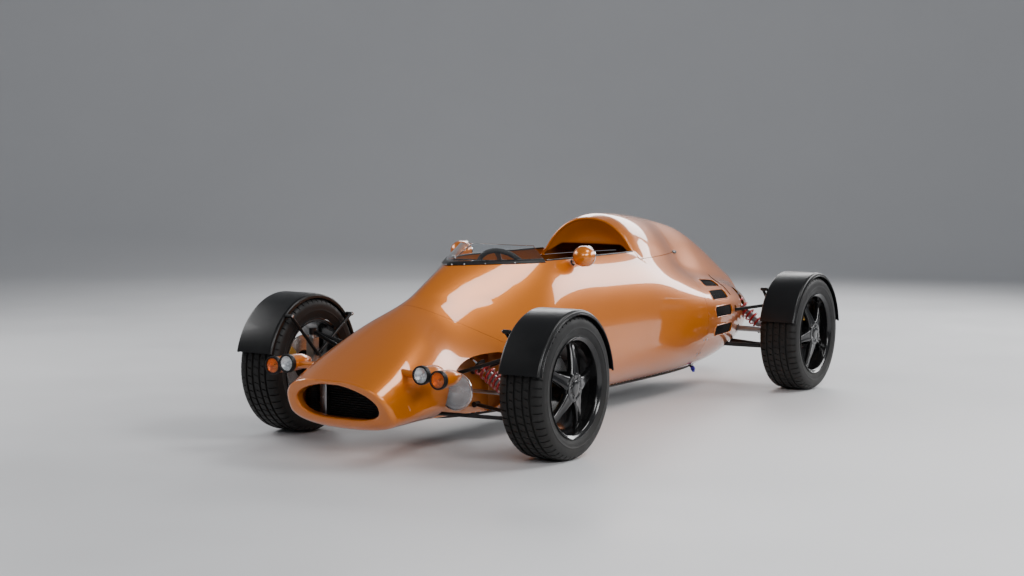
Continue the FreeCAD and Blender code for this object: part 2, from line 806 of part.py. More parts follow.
def tyre(centre):
    """A plain tyre with rounded shoulders and hollow inside."""
    half = tyre_width / 2
    outer = tyre_radius
    bead = tyre_bead_radius
    rim_side = rim_half - rim_lip
    middle = (bead + outer) / 2
    flange = rim_radius + seat_gap
    corner = outer - tyre_shoulder / 2
    profile = [
        (bead, -rim_side), (flange, -rim_side), (middle, -half), (corner, -half + tyre_bulge),
        (outer, -half + tyre_shoulder), (outer, half - tyre_shoulder), (corner, half - tyre_bulge),
        (middle, half), (flange, rim_side), (bead, rim_side), (bead, rim_side - tyre_wall),
        (middle, half - tyre_wall), (outer - tyre_wall, half - tyre_shoulder),
        (outer - tyre_wall, -half + tyre_shoulder), (middle, -half + tyre_wall),
        (bead, -rim_side + tyre_wall),
    ]
    points = [V(centre.x, centre.y + y, centre.z + r) for r, y in profile]
    return turned(points, centre, V(0, 1, 0))


def rim(centre, side):
    """A deep rim with its star of spokes and its hub."""
    seat_radius = tyre_bead_radius - seat_gap
    inside_radius = seat_radius - rim_wall
    lip_y = rim_half - rim_lip + seat_gap
    profile = [
        (rim_radius, rim_half), (rim_radius, lip_y), (seat_radius, lip_y), (seat_radius, -lip_y),
        (rim_radius, -lip_y), (rim_radius, -rim_half), (inside_radius, -rim_half), (inside_radius, rim_half),
    ]
    points = [V(centre.x, centre.y + y, centre.z + r) for r, y in profile]
    barrel = turned(points, centre, V(0, 1, 0))
    out = V(0, side, 0)
    hub = Part.makeCylinder(hub_radius, hub_face - hub_back, centre + out * hub_back, out)
    pieces = [barrel, hub]
    tip = centre.z + inside_radius + rim_wall / 2
    root = centre.z + hub_radius / 2
    root_y = centre.y + side * (hub_face - spoke_thickness)
    tip_y = root_y - side * spoke_drop
    outline = [
        V(centre.x - spoke_root_half, root_y, root), V(centre.x - spoke_tip_half, tip_y, tip),
        V(centre.x + spoke_tip_half, tip_y, tip), V(centre.x + spoke_root_half, root_y, root),
    ]
    for i in range(spoke_count):
        spoke = prism(outline, out * spoke_thickness)
        spoke.rotate(centre, V(0, 1, 0), side * spoke_turn + 360 / spoke_count * i)
        pieces.append(spoke)
    whole = joined(pieces)
    depth = axle_end + running_fit - hub_back
    bore = Part.makeCylinder(axle_radius + running_fit, depth, centre + out * hub_back, out)
    return whole.cut(bore)


def disc(centre, side):
    """A brake disc with its hat, bolted to the back of the hub."""
    out = V(0, side, 0)
    plate = Part.makeCylinder(disc_radius, disc_wall, centre + out * (disc_offset - disc_wall / 2), out)
    hat = Part.makeCylinder(hat_radius, hub_back - disc_offset, centre + out * disc_offset, out)
    length = hub_back - disc_offset + 2 * disc_wall
    hole = Part.makeCylinder(axle_radius + running_fit, length, centre + out * (disc_offset - disc_wall), out)
    return plate.fuse(hat).cut(hole).removeSplitter()


def caliper(centre, side, ahead):
    """A brake caliper that straddles the edge of the disc."""
    out = V(0, side, 0)
    low = disc_offset - disc_wall / 2 - caliper_gap - caliper_wall
    high = disc_offset + disc_wall / 2 + caliper_gap + caliper_wall
    block = Part.makeCylinder(caliper_outer, high - low, centre + out * low, out)
    block = block.cut(Part.makeCylinder(caliper_inner, high - low, centre + out * low, out))
    slot_width = disc_wall + 2 * caliper_gap
    slot_start = centre + out * (disc_offset - slot_width / 2)
    slot = Part.makeCylinder(disc_radius + caliper_gap, slot_width, slot_start, out)
    block = block.cut(slot)
    way = math.radians(caliper_angle)
    spread = math.radians(caliper_spread / 2)
    reach = 2 * caliper_outer
    wedge = [centre + V(0, side * low, 0)]
    for angle in (way - spread, way + spread):
        wedge.append(wedge[0] + V(ahead * reach * math.cos(angle), 0, reach * math.sin(angle)))
    return block.common(prism(wedge, out * (high - low)))


def guard(centre, side):
    """A mudguard round the top of the tyre, with its skirts and its beads."""
    far = guard_outer_half
    near = -guard_inner_half
    inner = guard_radius - guard_wall
    skirt = guard_radius - guard_skirt
    bead = skirt - guard_bead
    profile = [
        (guard_radius, near), (guard_radius, far), (skirt, far), (skirt, far + guard_bead),
        (bead, far + guard_bead), (bead, far - guard_wall), (inner, far - guard_wall),
        (inner, near + guard_wall), (bead, near + guard_wall), (bead, near),
    ]
    points = [V(centre.x, centre.y + side * y, centre.z + r) for r, y in profile]
    face = Part.Face(Part.makePolygon(points + [points[0]]))
    face.rotate(centre, V(0, 1, 0), 90 - guard_front_angle)
    return face.revolve(centre, V(0, 1, 0), -(guard_rear_angle - guard_front_angle))


def guard_stays(centre, side, root):
    """Tubes from the wheel carrier's side to the guard, each with a lug to the guard's skirt."""
    pieces = [Part.makeSphere(stay_boss_radius, root)]
    top_y = centre.y - side * stay_offset
    lug_y = top_y - side * (stay_radius + stay_lug_end)
    skirt_y = centre.y - side * (guard_inner_half - guard_wall / 2)
    for degrees in stay_angles:
        angle = math.radians(degrees)
        top_x = centre.x + stay_reach * math.cos(angle)
        top_z = centre.z + stay_reach * math.sin(angle)
        pieces.append(rod(root, V(top_x, top_y, top_z), stay_radius))
        pieces.append(rod(V(top_x, lug_y, top_z), V(top_x, skirt_y, top_z), stay_lug_radius))
    return pieces


def upright(centre, side, post_y, steered):
    """The wheel carrier with its stub axle and, at the front, its steering arm."""
    low = upright_low if steered else rear_upright_low
    post = box((centre.x - upright_half, -upright_half, low + upright_neck),
               (centre.x + upright_half, upright_half, upright_high - upright_neck))
    neck = Part.makeCylinder(upright_neck_radius, upright_high - low, V(centre.x, 0, low))
    post = post.fuse(neck)
    post.translate(V(0, side * post_y, 0))
    axle_start = V(centre.x, side * post_y, centre.z)
    axle_tip = V(centre.x, centre.y + side * axle_end, centre.z)
    pieces = [post, rod(axle_start, axle_tip, axle_radius)]
    if steered:
        arm = box((centre.x - steer_arm_length - eye_radius, -upright_half, steer_arm_height),
                  (centre.x, upright_half, steer_arm_height + steer_arm_wall))
        arm.translate(V(0, side * post_y, 0))
        pieces.append(arm)
    else:
        end_x = centre.x - rear_arm_length - damper_eye
        arm_top = rear_arm_height + steer_arm_wall
        side_low, side_high = sorted((side * (rear_damper_side - damper_eye), side * (post_y + damper_eye)))
        pieces.append(box((end_x, side_low, rear_arm_height), (end_x + 2 * damper_eye, side_high, arm_top)))
        arm = box((end_x, -damper_eye, rear_arm_height), (centre.x, damper_eye, arm_top))
        arm.translate(V(0, side * post_y, 0))
        pieces.append(arm)
    ahead = 1 if steered else -1
    lug_angle = math.radians(caliper_angle)
    reach = (caliper_inner + caliper_outer) / 2
    lug_plate = box((0, -caliper_lug / 2, -caliper_lug), (reach + caliper_lug, caliper_lug / 2, caliper_lug))
    lug_turn = 90 - ahead * (90 - caliper_angle)
    lug_plate.rotate(V(0, 0, 0), V(0, 1, 0), -lug_turn)
    lug_plate.translate(axle_start)
    lug_x = centre.x + ahead * reach * math.cos(lug_angle)
    lug_end = V(lug_x, side * post_y, centre.z + reach * math.sin(lug_angle))
    pad = centre.y + side * (disc_offset - disc_wall / 2 - caliper_gap - caliper_wall - seat_gap)
    pieces.append(lug_plate)
    pieces.append(rod(lug_end, V(lug_end.x, pad, lug_end.z), caliper_lug * lug_boss_share))
    return joined(pieces)


for axle, axle_x in (("front", front_axle_x), ("rear", rear_axle_x)):
    for name, side in sides.items():
        centre = V(axle_x, side * wheel_y, tyre_radius)
        save(tyre(centre), axle + "_tyre_" + name)
        save(rim(centre, side), axle + "_rim_" + name)
        save(disc(centre, side), axle + "_disc_" + name)

rear_centre = V(rear_axle_x, wheel_y, tyre_radius)
for name, side in sides.items():
    centre = V(front_axle_x, side * wheel_y, tyre_radius)
    save(upright(centre, side, kingpin_side, True), "front_upright_" + name)
    save(caliper(centre, side, 1), "front_caliper_" + name)
    root_y = side * (kingpin_side - upright_half - stay_boss_radius - seat_gap)
    root = V(front_axle_x, root_y, stay_root_height)
    save(joined([guard(centre, side)] + guard_stays(centre, side, root)), "front_mudguard_" + name)
save(both_sides(upright(rear_centre, 1, rear_upright_side, False)), "rear_uprights")
save(both_sides(caliper(rear_centre, 1, -1)), "rear_calipers")
root = V(rear_axle_x, rear_upright_side - upright_half - stay_boss_radius - seat_gap, stay_root_height)
rear_guard = joined([guard(rear_centre, 1)] + guard_stays(rear_centre, 1, root))
save(both_sides(rear_guard), "rear_mudguards")


def arm(inner_side, inner_height, spread_front, spread_back, centre_x, eye_side, eye_low, tube):
    """A wishbone of two tubes from its feet to an eye at the wheel carrier."""
    eye_mid = V(centre_x, eye_side, eye_low + eye_height / 2)
    pieces = [Part.makeCylinder(eye_radius, eye_height, V(centre_x, eye_side, eye_low), V(0, 0, 1))]
    feet = [V(centre_x + spread_front, inner_side, inner_height),
            V(centre_x - spread_back, inner_side, inner_height)]
    half_foot = V(foot_length / 2, 0, 0)
    for foot in feet:
        pieces.append(rod(foot, eye_mid, tube))
        pieces.append(rod(foot - half_foot, foot + half_foot, foot_radius))
    return joined(pieces)


low_eye = upright_low - seat_gap - eye_height
rear_low_eye = rear_upright_low - seat_gap - eye_height
high_eye = upright_high + seat_gap
front_foot_side = tub_nose_half + foot_radius + seat_gap
rear_foot_side = rail_side + rail_radius + foot_radius + seat_gap
front_lower = arm(front_foot_side, lower_inner_height, lower_spread, lower_spread, front_axle_x,
                  kingpin_side, low_eye, arm_tube)
front_upper = arm(front_foot_side, upper_inner_height, upper_spread_front, upper_spread_back, front_axle_x,
                  kingpin_side, high_eye, arm_tube)

# Cross tube of the front lower wishbone, with the bracket that carries the damper's low eye
cross_share = (cross_tube_side - front_foot_side) / (kingpin_side - front_foot_side)
cross_z = lower_inner_height + (low_eye + eye_height / 2 - lower_inner_height) * cross_share
cross_half = lower_spread * (1 - cross_share)
cross_front = V(front_axle_x + cross_half, cross_tube_side, cross_z)
cross_back = V(front_axle_x - cross_half, cross_tube_side, cross_z)
bracket_top = V(cross_back.x, cross_back.y, front_damper_low_height - damper_eye - seat_gap)
front_lower = joined([front_lower, rod(cross_front, cross_back, arm_tube),
                      rod(cross_back, bracket_top, damper_bracket_radius)])
front_arms = Part.makeCompound([front_lower, front_upper])
save(Part.makeCompound([front_arms, mirrored(front_arms)]), "front_wishbones")
rear_lower = arm(rear_foot_side, rail_low_height, rear_spread_front, rear_spread_back, rear_axle_x,
                 rear_upright_side, rear_low_eye, rear_low_tube)
rear_upper = arm(rear_foot_side, rail_high_height, rear_spread_front, rear_spread_back, rear_axle_x,
                 rear_upright_side, high_eye, arm_tube)
rear_arms = Part.makeCompound([rear_lower, rear_upper])
save(Part.makeCompound([rear_arms, mirrored(rear_arms)]), "rear_wishbones")

# Rear frame: four rails from the firewall to the tail, joined by hoops
rail_front = at(firewall_back) - seat_gap
rails = []
for side in sides.values():
    for height, end_back in ((rail_low_height, rail_low_end_back), (rail_high_height, rail_high_end_back)):
        rail_start = V(rail_front, side * rail_side, height)
        rails.append(rod(rail_start, V(at(end_back), side * rail_side, height), rail_radius))
for x in (at(rail_low_end_back) + rail_radius, rear_axle_x + rear_spread_front):
    for side in sides.values():
        post_foot = V(x, side * rail_side, rail_low_height)
        rails.append(rod(post_foot, V(x, side * rail_side, rail_high_height), hoop_radius))
    for height in (rail_low_height, rail_high_height):
        rails.append(rod(V(x, -rail_side, height), V(x, rail_side, height), hoop_radius))


def damper(low, high):
    """A damper body with its rod and its two eyes, on one line."""
    middle = low + (high - low) * damper_body_share
    line = high - low
    line.normalize()
    body_foot = low + line * damper_foot
    pieces = [rod(low, body_foot, damper_rod_radius), rod(body_foot, middle, damper_radius)]
    pieces.append(rod(middle, high, damper_rod_radius))
    half_eye = V(damper_eye_length / 2, 0, 0)
    for end in (low, high):
        pieces.append(rod(end - half_eye, end + half_eye, damper_eye))
    return joined(pieces)


def small_ring(centre, across, up):
    """A closed outline round a point, spanned by two directions."""
    points = []
    for i in range(ring_points + 1):
        angle = 2 * math.pi * (i % ring_points) / ring_points
        points.append(centre + across * math.cos(angle) + up * math.sin(angle))
    return Part.makePolygon(points)


def coil(low, high, start_share, length_share):
    """A coil spring round the damper, lofted through rings along its helix."""
    line = high - low
    length = line.Length * length_share
    line.normalize()
    start = low + line * (high - low).Length * start_share
    side_way = line.cross(V(1, 0, 0))
    side_way.normalize()
    front_way = side_way.cross(line)
    count = spring_turns * spring_rings
    rings = []
    for i in range(count + 1):
        angle = 2 * math.pi * i / spring_rings
        out = front_way * math.cos(angle) + side_way * math.sin(angle)
        centre = start + line * (length * i / count) + out * spring_radius
        rings.append(small_ring(centre, out * spring_wire, line * spring_wire))
    return Part.makeLoft(rings, True, True)


front_low = V(cross_back.x, cross_tube_side, front_damper_low_height)
front_high = V(cross_back.x, tub_nose_half + damper_eye + seat_gap, front_damper_high_height)
rear_low = V(rear_axle_x - rear_arm_length, rear_damper_side,
             rear_arm_height + steer_arm_wall + damper_eye + seat_gap)
rear_high = V(rear_axle_x - rear_damper_high_behind, rail_side + hoop_radius + damper_eye + seat_gap,
              rear_damper_high_height)
dampers = [damper(front_low, front_high), damper(rear_low, rear_high)]
springs = [coil(front_low, front_high, front_spring_start_share, front_spring_length_share),
           coil(rear_low, rear_high, rear_spring_start_share, rear_spring_length_share)]
save(Part.makeCompound(dampers + [mirrored(d) for d in dampers]), "dampers")
save(Part.makeCompound(springs + [mirrored(s) for s in springs]), "coil_springs")

# Posts on the upper rails carry the upper eyes of the rear dampers
for side in sides.values():
    post_low = V(rear_high.x, side * rail_side, rail_high_height)
    post_high = V(rear_high.x, side * rail_side, rear_high.z + rail_radius)
    rails.append(rod(post_low, post_high, hoop_radius))
save(joined(rails), "rear_frame")

# Rack housing across the tub, and the bar that slides in it with the track rods
housing_end = tub_nose_half + 2 * tub_wall
housing = rod(V(rack_x, -housing_end, rack_z), V(rack_x, housing_end, rack_z), rack_radius)
bore = rod(V(rack_x, -2 * housing_end, rack_z), V(rack_x, 2 * housing_end, rack_z), rack_bore + running_fit)
save(housing.cut(bore), "steering_rack")
bar = rod(V(rack_x, -kingpin_side, rack_z), V(rack_x, kingpin_side, rack_z), rack_bore)
eyes = []
for side in sides.values():
    foot = V(rack_x, side * kingpin_side, rack_z - eye_height / 2)
    eyes.append(Part.makeCylinder(eye_radius, eye_height, foot, V(0, 0, 1)))
save(joined([bar] + eyes), "track_rods")

# Engine and final drive as plain blocks between the rails
engine_half = rail_side - rail_radius - seat_gap
engine_rear_x = at(engine_front_back) - engine_length
engine = box((engine_rear_x, -engine_half, engine_low), (at(engine_front_back), engine_half, engine_high))
final_drive = box((rear_axle_x - final_drive_behind, -engine_half, final_drive_low),
                  (engine_rear_x, engine_half, final_drive_high))
save(joined([engine, final_drive]), "engine_block")

# Drive shafts with their joints
inner_joint = V(rear_axle_x, engine_half + seat_gap, tyre_radius)
outer_joint = V(rear_axle_x, rear_upright_side - upright_half - seat_gap, tyre_radius)
shaft = rod(inner_joint, outer_joint, drive_radius)
outer_cup = Part.makeCylinder(joint_radius, joint_length, outer_joint, V(0, -1, 0))
inner_cup = Part.makeCylinder(joint_radius, joint_length, inner_joint, V(0, 1, 0))
save(both_sides(joined([shaft, outer_cup, inner_cup])), "drive_shafts")

# Tailpipe through the end of the tail
pipe_start = V(tail_x, 0, pipe_height)
pipe_end = V(tail_x + pipe_length, 0, pipe_height)
pipe = rod(pipe_start, pipe_end, pipe_radius)
save(pipe.cut(rod(pipe_start, pipe_end, pipe_radius - pipe_wall)), "tailpipe")

# Holes through the tail's skin for the rear links, the dampers, the shafts, the lamps and the pipe
tail_holes = [rod(inner_joint, outer_joint, drive_radius + skin_clearance)]
tail_holes.append(rod(rear_low, rear_high, spring_radius + spring_wire + skin_clearance))
for inner_height, eye_low in ((rail_low_height, rear_low_eye), (rail_high_height, high_eye)):
    eye_mid = V(rear_axle_x, rear_upright_side, eye_low + eye_height / 2)
    for spread in (rear_spread_front, -rear_spread_back):
        foot = V(rear_axle_x + spread, rear_foot_side, inner_height)
        tail_holes.append(rod(foot, eye_mid, rear_low_tube + skin_clearance))
lamp_mid = V(tail_x - cut_overrun, rear_lamp_side, rear_lamp_height)
tail_holes.append(rod(lamp_mid, lamp_mid + V(2 * cut_overrun, 0, 0), rear_lamp_radius + seat_gap))
tail_holes = tail_holes + [mirrored(hole) for hole in tail_holes]
tail_holes.append(rod(pipe_start - V(cut_overrun, 0, 0), pipe_end, pipe_radius + seat_gap))
for hole in tail_holes:
    tail = tail.cut(hole)
save(tail, "tail_panel")
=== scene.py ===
import bpy
import bmesh
from math import atan2, copysign, cos, exp, hypot, pi, radians, sin, sqrt
from mathutils import Matrix, Vector


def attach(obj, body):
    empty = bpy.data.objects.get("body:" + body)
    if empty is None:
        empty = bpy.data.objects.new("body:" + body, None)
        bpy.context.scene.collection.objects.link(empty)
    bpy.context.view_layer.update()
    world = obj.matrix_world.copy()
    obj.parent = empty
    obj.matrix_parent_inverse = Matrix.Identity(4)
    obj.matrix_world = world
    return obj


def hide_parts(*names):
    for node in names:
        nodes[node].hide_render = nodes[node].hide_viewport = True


# Dresses the open wheel racing car. Metres, X forward, Y to the car's left, Z up.
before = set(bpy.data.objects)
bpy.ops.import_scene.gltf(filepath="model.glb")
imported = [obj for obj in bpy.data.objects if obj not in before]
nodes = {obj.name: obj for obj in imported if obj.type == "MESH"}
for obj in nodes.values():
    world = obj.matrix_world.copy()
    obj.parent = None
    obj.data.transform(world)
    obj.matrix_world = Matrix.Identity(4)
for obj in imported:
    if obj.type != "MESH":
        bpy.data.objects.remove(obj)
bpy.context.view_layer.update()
print("loaded", len(nodes), "nodes")


def addObject(name, data):
    holder = bpy.data.objects.new(name, data)
    bpy.context.scene.collection.objects.link(holder)
    return holder


# camera, light and floor

camera = {
    "place": (7.2232, 4.18213, 1.25434),
    "heading": 3.692152,    # radians from +X
    "dip": 0.0819342,       # radians below the horizon
    "roll": 0.00665276,
    "lens": 63.4683,        # mm on a 36 mm wide frame
}


def setCamera():
    heading, dip, roll = camera["heading"], camera["dip"], camera["roll"]
    ahead = Vector((cos(dip) * cos(heading), cos(dip) * sin(heading), -sin(dip)))
    right = ahead.cross(Vector((0, 0, 1))).normalized()
    up = right.cross(ahead)
    turnedRight = right * cos(roll) + up * sin(roll)
    turnedUp = up * cos(roll) - right * sin(roll)
    data = bpy.data.cameras.new("photoCamera")
    data.lens = camera["lens"]
    data.sensor_width = 36
    data.clip_end = 100
    holder = addObject("photoCamera", data)
    axes = Matrix((turnedRight, turnedUp, -ahead)).transposed().to_4x4()
    holder.matrix_world = Matrix.Translation(camera["place"]) @ axes
    bpy.context.scene.camera = holder


lights = {
    # name: place, aim, width, depth, watts
    "overhead": ((-0.3, 2.5, 3.6), (0.9, 0.1, 0.6), 1.9, 1.2, 75),
    "nose": ((5.4, 3.0, 3.2), (0.9, 0.0, 0.4), 2.2, 1.2, 70),
    "flank": ((-5.2, 3.0, 2.3), (-0.6, 0.3, 0.5), 4.8, 1.3, 170),
    "key": ((2.5, 6.5, 3.2), (0.0, 0.3, 0.3), 3.2, 1.6, 200),
    "far": ((1.4, -4.8, 3.2), (0.2, -0.1, 0.4), 4.0, 1.6, 150),
    "back": ((-6.5, -2.0, 3.7), (-1.0, 0.0, 0.5), 6.0, 1.8, 230),
}
worldLight = {"colour": (0.78, 0.82, 0.88, 1), "strength": 0.26}


def setLights():
    for name, (place, aim, width, depth, watts) in lights.items():
        data = bpy.data.lights.new(name + "Light", "AREA")
        data.shape = "RECTANGLE"
        data.size, data.size_y, data.energy = width, depth, watts
        holder = addObject(name + "Light", data)
        holder.visible_camera = False
        holder.location = place
        holder.rotation_euler = (Vector(aim) - Vector(place)).to_track_quat("-Z", "Y").to_euler()
    world = bpy.data.worlds.new("studio")
    world.use_nodes = True
    glow = world.node_tree.nodes["Background"].inputs
    glow["Color"].default_value = worldLight["colour"]
    glow["Strength"].default_value = worldLight["strength"]
    bpy.context.scene.world = world


# shader tools

def addNode(tree, kind, settings=None, inputs=None):
    fresh = tree.nodes.new(kind)
    for name, value in (settings or {}).items():
        setattr(fresh, name, value)
    for name, value in (inputs or {}).items():
        if isinstance(value, bpy.types.NodeSocket):
            tree.links.new(value, fresh.inputs[name])
        else:
            fresh.inputs[name].default_value = value
    return fresh


def objectPlace(tree):
    return addNode(tree, "ShaderNodeTexCoord").outputs["Object"]


def noise(tree, place, scale, detail=2.0, rough=0.5):
    return addNode(tree, "ShaderNodeTexNoise", inputs={
        "Vector": place, "Scale": scale, "Detail": detail, "Roughness": rough}).outputs["Fac"]


def remap(tree, value, low, high, toLow=0.0, toHigh=1.0):
    return addNode(tree, "ShaderNodeMapRange", inputs={
        "Value": value, "From Min": low, "From Max": high,
        "To Min": toLow, "To Max": toHigh}).outputs["Result"]


def product(tree, first, second):
    return addNode(tree, "ShaderNodeMath", {"operation": "MULTIPLY"}, {0: first, 1: second}).outputs[0]


def mixColours(tree, share, first, second):
    # the mixer's colour sockets are its seventh and eighth inputs, and its third output
    kind = {"data_type": "RGBA", "blend_type": "MIX"}
    return addNode(tree, "ShaderNodeMix", kind, {0: share, 6: first, 7: second}).outputs[2]


def twoTone(tree, mask, first, second):
    return mixColours(tree, mask, (*first, 1), (*second, 1))


def newGroup(name, inputs, outputs):
    # a default of three numbers makes a vector socket
    group = bpy.data.node_groups.new(name, "ShaderNodeTree")
    for title, value in inputs.items():
        kind = "NodeSocketVector" if isinstance(value, tuple) else "NodeSocketFloat"
        group.interface.new_socket(title, in_out="INPUT", socket_type=kind).default_value = value
    for title in outputs:
        group.interface.new_socket(title, in_out="OUTPUT", socket_type="NodeSocketFloat")
    return group, group.nodes.new("NodeGroupInput").outputs, objectPlace(group)


def endGroup(group, results):
    addNode(group, "NodeGroupOutput", inputs=results)
    return group


def makeMottleGroup():
    # uneven patches: one value between low and high, and the raw mask
    group, start, place = newGroup("mottle", {"Scale": 6.0, "Low": 0.3, "High": 0.5}, ("Value", "Mask"))
    cloud = noise(group, place, start["Scale"], 5.0, 0.6)
    value = remap(group, cloud, 0.3, 0.7, start["Low"], start["High"])
    return endGroup(group, {"Value": value, "Mask": cloud})


def makeGrainGroup():
    # fine grain for bump: a height between 0 and 1
    group, start, place = newGroup("grain", {"Scale": 400.0, "Coarse": 0.3}, ("Height",))
    fine = noise(group, place, start["Scale"], 3.0, 0.7)
    wide = noise(group, place, product(group, start["Scale"], 0.12))
    both = addNode(group, "ShaderNodeMix", {"data_type": "FLOAT"}, {0: start["Coarse"], 2: fine, 3: wide})
    return endGroup(group, {"Height": both.outputs[0]})


def makeDustGroup():
    # road dust: a mask that is strongest near the ground and broken up by noise
    group, start, place = newGroup("roadDust", {"Low": 0.05, "High": 0.45, "Amount": 0.3}, ("Mask",))
    height = addNode(group, "ShaderNodeSeparateXYZ", inputs={"Vector": place}).outputs["Z"]
    fall = remap(group, height, start["High"], start["Low"], 0.0, start["Amount"])
    return endGroup(group, {"Mask": product(group, fall, noise(group, place, 14.0, 7.0))})


def makeLeatherGroup():
    # pebbled hide: cells with soft creases, and a crease mask that also gives the painted shade in the creases
    group, start, place = newGroup("hide", {"Scale": 260.0}, ("Height", "Crease"))
    cells = addNode(group, "ShaderNodeTexVoronoi", {"feature": "SMOOTH_F1"},
                    {"Vector": place, "Scale": start["Scale"], "Smoothness": 0.5})
    edges = addNode(group, "ShaderNodeTexVoronoi", {"feature": "DISTANCE_TO_EDGE"},
                    {"Vector": place, "Scale": start["Scale"]})
    crease = remap(group, edges.outputs["Distance"], 0.0, 0.18)
    return endGroup(group, {"Height": product(group, crease, cells.outputs["Distance"]), "Crease": crease})


mottle = makeMottleGroup()
grain = makeGrainGroup()
roadDust = makeDustGroup()
hide = makeLeatherGroup()
dustColour = (0.30, 0.27, 0.23, 1)


def placeGroup(tree, group, inputs):
    return addNode(tree, "ShaderNodeGroup", {"node_tree": group}, inputs).outputs


def startMaterial(name, plain):
    material = bpy.data.materials.new(name)
    material.use_nodes = True
    tree = material.node_tree
    shader = tree.nodes["Principled BSDF"].inputs
    for title, value in plain.items():
        shader[title].default_value = value
    return material, tree, shader


def coverShader(tree, shader, colour, rough, height=None, depth=0.0):
    # links the colour, the roughness and, where there is one, the bump
    tree.links.new(colour, shader["Base Color"])
    tree.links.new(rough, shader["Roughness"])
    if height:
        bump = addNode(tree, "ShaderNodeBump", inputs={"Height": height, "Distance": depth, "Strength": 1.0})
        tree.links.new(bump.outputs["Normal"], shader["Normal"])


finishes = {
    # name: two tones, least and most roughness, patches, grain and its depth, dust, metal, coat, shine
    "chassisPaint": ((0.42, 0.110, 0.003), (0.50, 0.140, 0.004),
                     0.30, 0.42, 7, 500, 0.00008, 0.25, 0.2, 0.35, 0.5),
    "blackTube": ((0.004, 0.004, 0.0045), (0.008, 0.008, 0.0085),
                  0.30, 0.42, 12, 700, 0.00012, 0.06, 0.0, 0.1, 0.3),
    "floorBlack": ((0.008, 0.008, 0.009), (0.016, 0.016, 0.016),
                   0.45, 0.6, 9, 320, 0.0002, 0.15, 0.0, 0.0, 0.3),
    "guardBlack": ((0.0035, 0.0035, 0.004), (0.006, 0.006, 0.0065),
                   0.30, 0.40, 8, 900, 0.00007, 0.02, 0.0, 0.08, 0.3),
    "trimBlack": ((0.004, 0.004, 0.0045), (0.008, 0.008, 0.0085),
                  0.36, 0.5, 14, 620, 0.0002, 0.02, 0.0, 0.0, 0.3),
    "dashBlack": ((0.008, 0.008, 0.009), (0.014, 0.014, 0.015),
                  0.5, 0.66, 18, 900, 0.0003, 0.0, 0.0, 0.0, 0.3),
    "coreBlack": ((0.008, 0.008, 0.009), (0.016, 0.016, 0.017),
                  0.55, 0.75, 20, 420, 0.0003, 0.05, 0.1, 0.0, 0.5),
    "greyCore": ((0.030, 0.030, 0.032), (0.055, 0.055, 0.057),
                 0.38, 0.52, 20, 420, 0.0002, 0.08, 0.6, 0.0, 0.5),
    "greySteel": ((0.36, 0.36, 0.37), (0.47, 0.47, 0.48),
                  0.28, 0.42, 22, 600, 0.0001, 0.12, 1.0, 0.0, 0.5),
    "castAlloy": ((0.40, 0.41, 0.42), (0.53, 0.53, 0.54),
                  0.38, 0.52, 26, 420, 0.0003, 0.15, 1.0, 0.0, 0.5),
    "engineAlloy": ((0.20, 0.20, 0.21), (0.30, 0.30, 0.30),
                    0.45, 0.6, 16, 260, 0.0005, 0.2, 0.9, 0.0, 0.5),
    "springRed": ((0.38, 0.008, 0.010), (0.50, 0.016, 0.016),
                  0.22, 0.34, 18, 500, 0.0001, 0.08, 0.1, 0.5, 0.5),
    "caliperGold": ((0.42, 0.22, 0.035), (0.52, 0.29, 0.055),
                    0.32, 0.46, 24, 500, 0.0002, 0.12, 0.55, 0.2, 0.5),
    "chrome": ((0.78, 0.79, 0.80), (0.86, 0.86, 0.87),
               0.04, 0.10, 18, 300, 0.00002, 0.0, 1.0, 0.0, 0.5),
    "rubber": ((0.0045, 0.0045, 0.0048), (0.008, 0.0078, 0.0076),
               0.48, 0.62, 16, 520, 0.0002, 0.06, 0.0, 0.0, 0.3),
    "rimBlack": ((0.003, 0.003, 0.0035), (0.005, 0.005, 0.0055),
                 0.12, 0.2, 12, 420, 0.00003, 0.02, 0.0, 0.35, 0.4),
    "lampSilver": ((0.88, 0.89, 0.90), (0.94, 0.94, 0.95),
                   0.28, 0.38, 14, 420, 0.00003, 0.0, 1.0, 0.0, 0.5),
    "screwSteel": ((0.45, 0.45, 0.46), (0.60, 0.60, 0.61),
                   0.22, 0.34, 40, 700, 0.00008, 0.05, 1.0, 0.0, 0.5),
    "gripSuede": ((0.016, 0.015, 0.015), (0.034, 0.032, 0.031),
                  0.75, 0.92, 40, 1500, 0.0004, 0.0, 0.0, 0.0, 0.5),
    "blueAnodised": ((0.03, 0.03, 0.42), (0.06, 0.05, 0.55),
                     0.2, 0.32, 30, 500, 0.0001, 0.05, 0.7, 0.3, 0.5),
}


def plainFinish(name):
    first, second, smooth, rough, patch, scale, depth, dust, metal, coat, shine = finishes[name]
    material, tree, shader = startMaterial(name, {
        "Metallic": metal, "Coat Weight": coat, "Coat Roughness": 0.08, "Specular IOR Level": shine})
    patches = placeGroup(tree, mottle, {"Scale": patch, "Low": smooth, "High": rough})
    colour = twoTone(tree, patches["Mask"], first, second)
    if dust > 0:
        colour = mixColours(tree, placeGroup(tree, roadDust, {"Amount": dust})["Mask"], colour, dustColour)
    fine = placeGroup(tree, grain, {"Scale": scale})["Height"]
    coverShader(tree, shader, colour, patches["Value"], fine, depth)
    return material


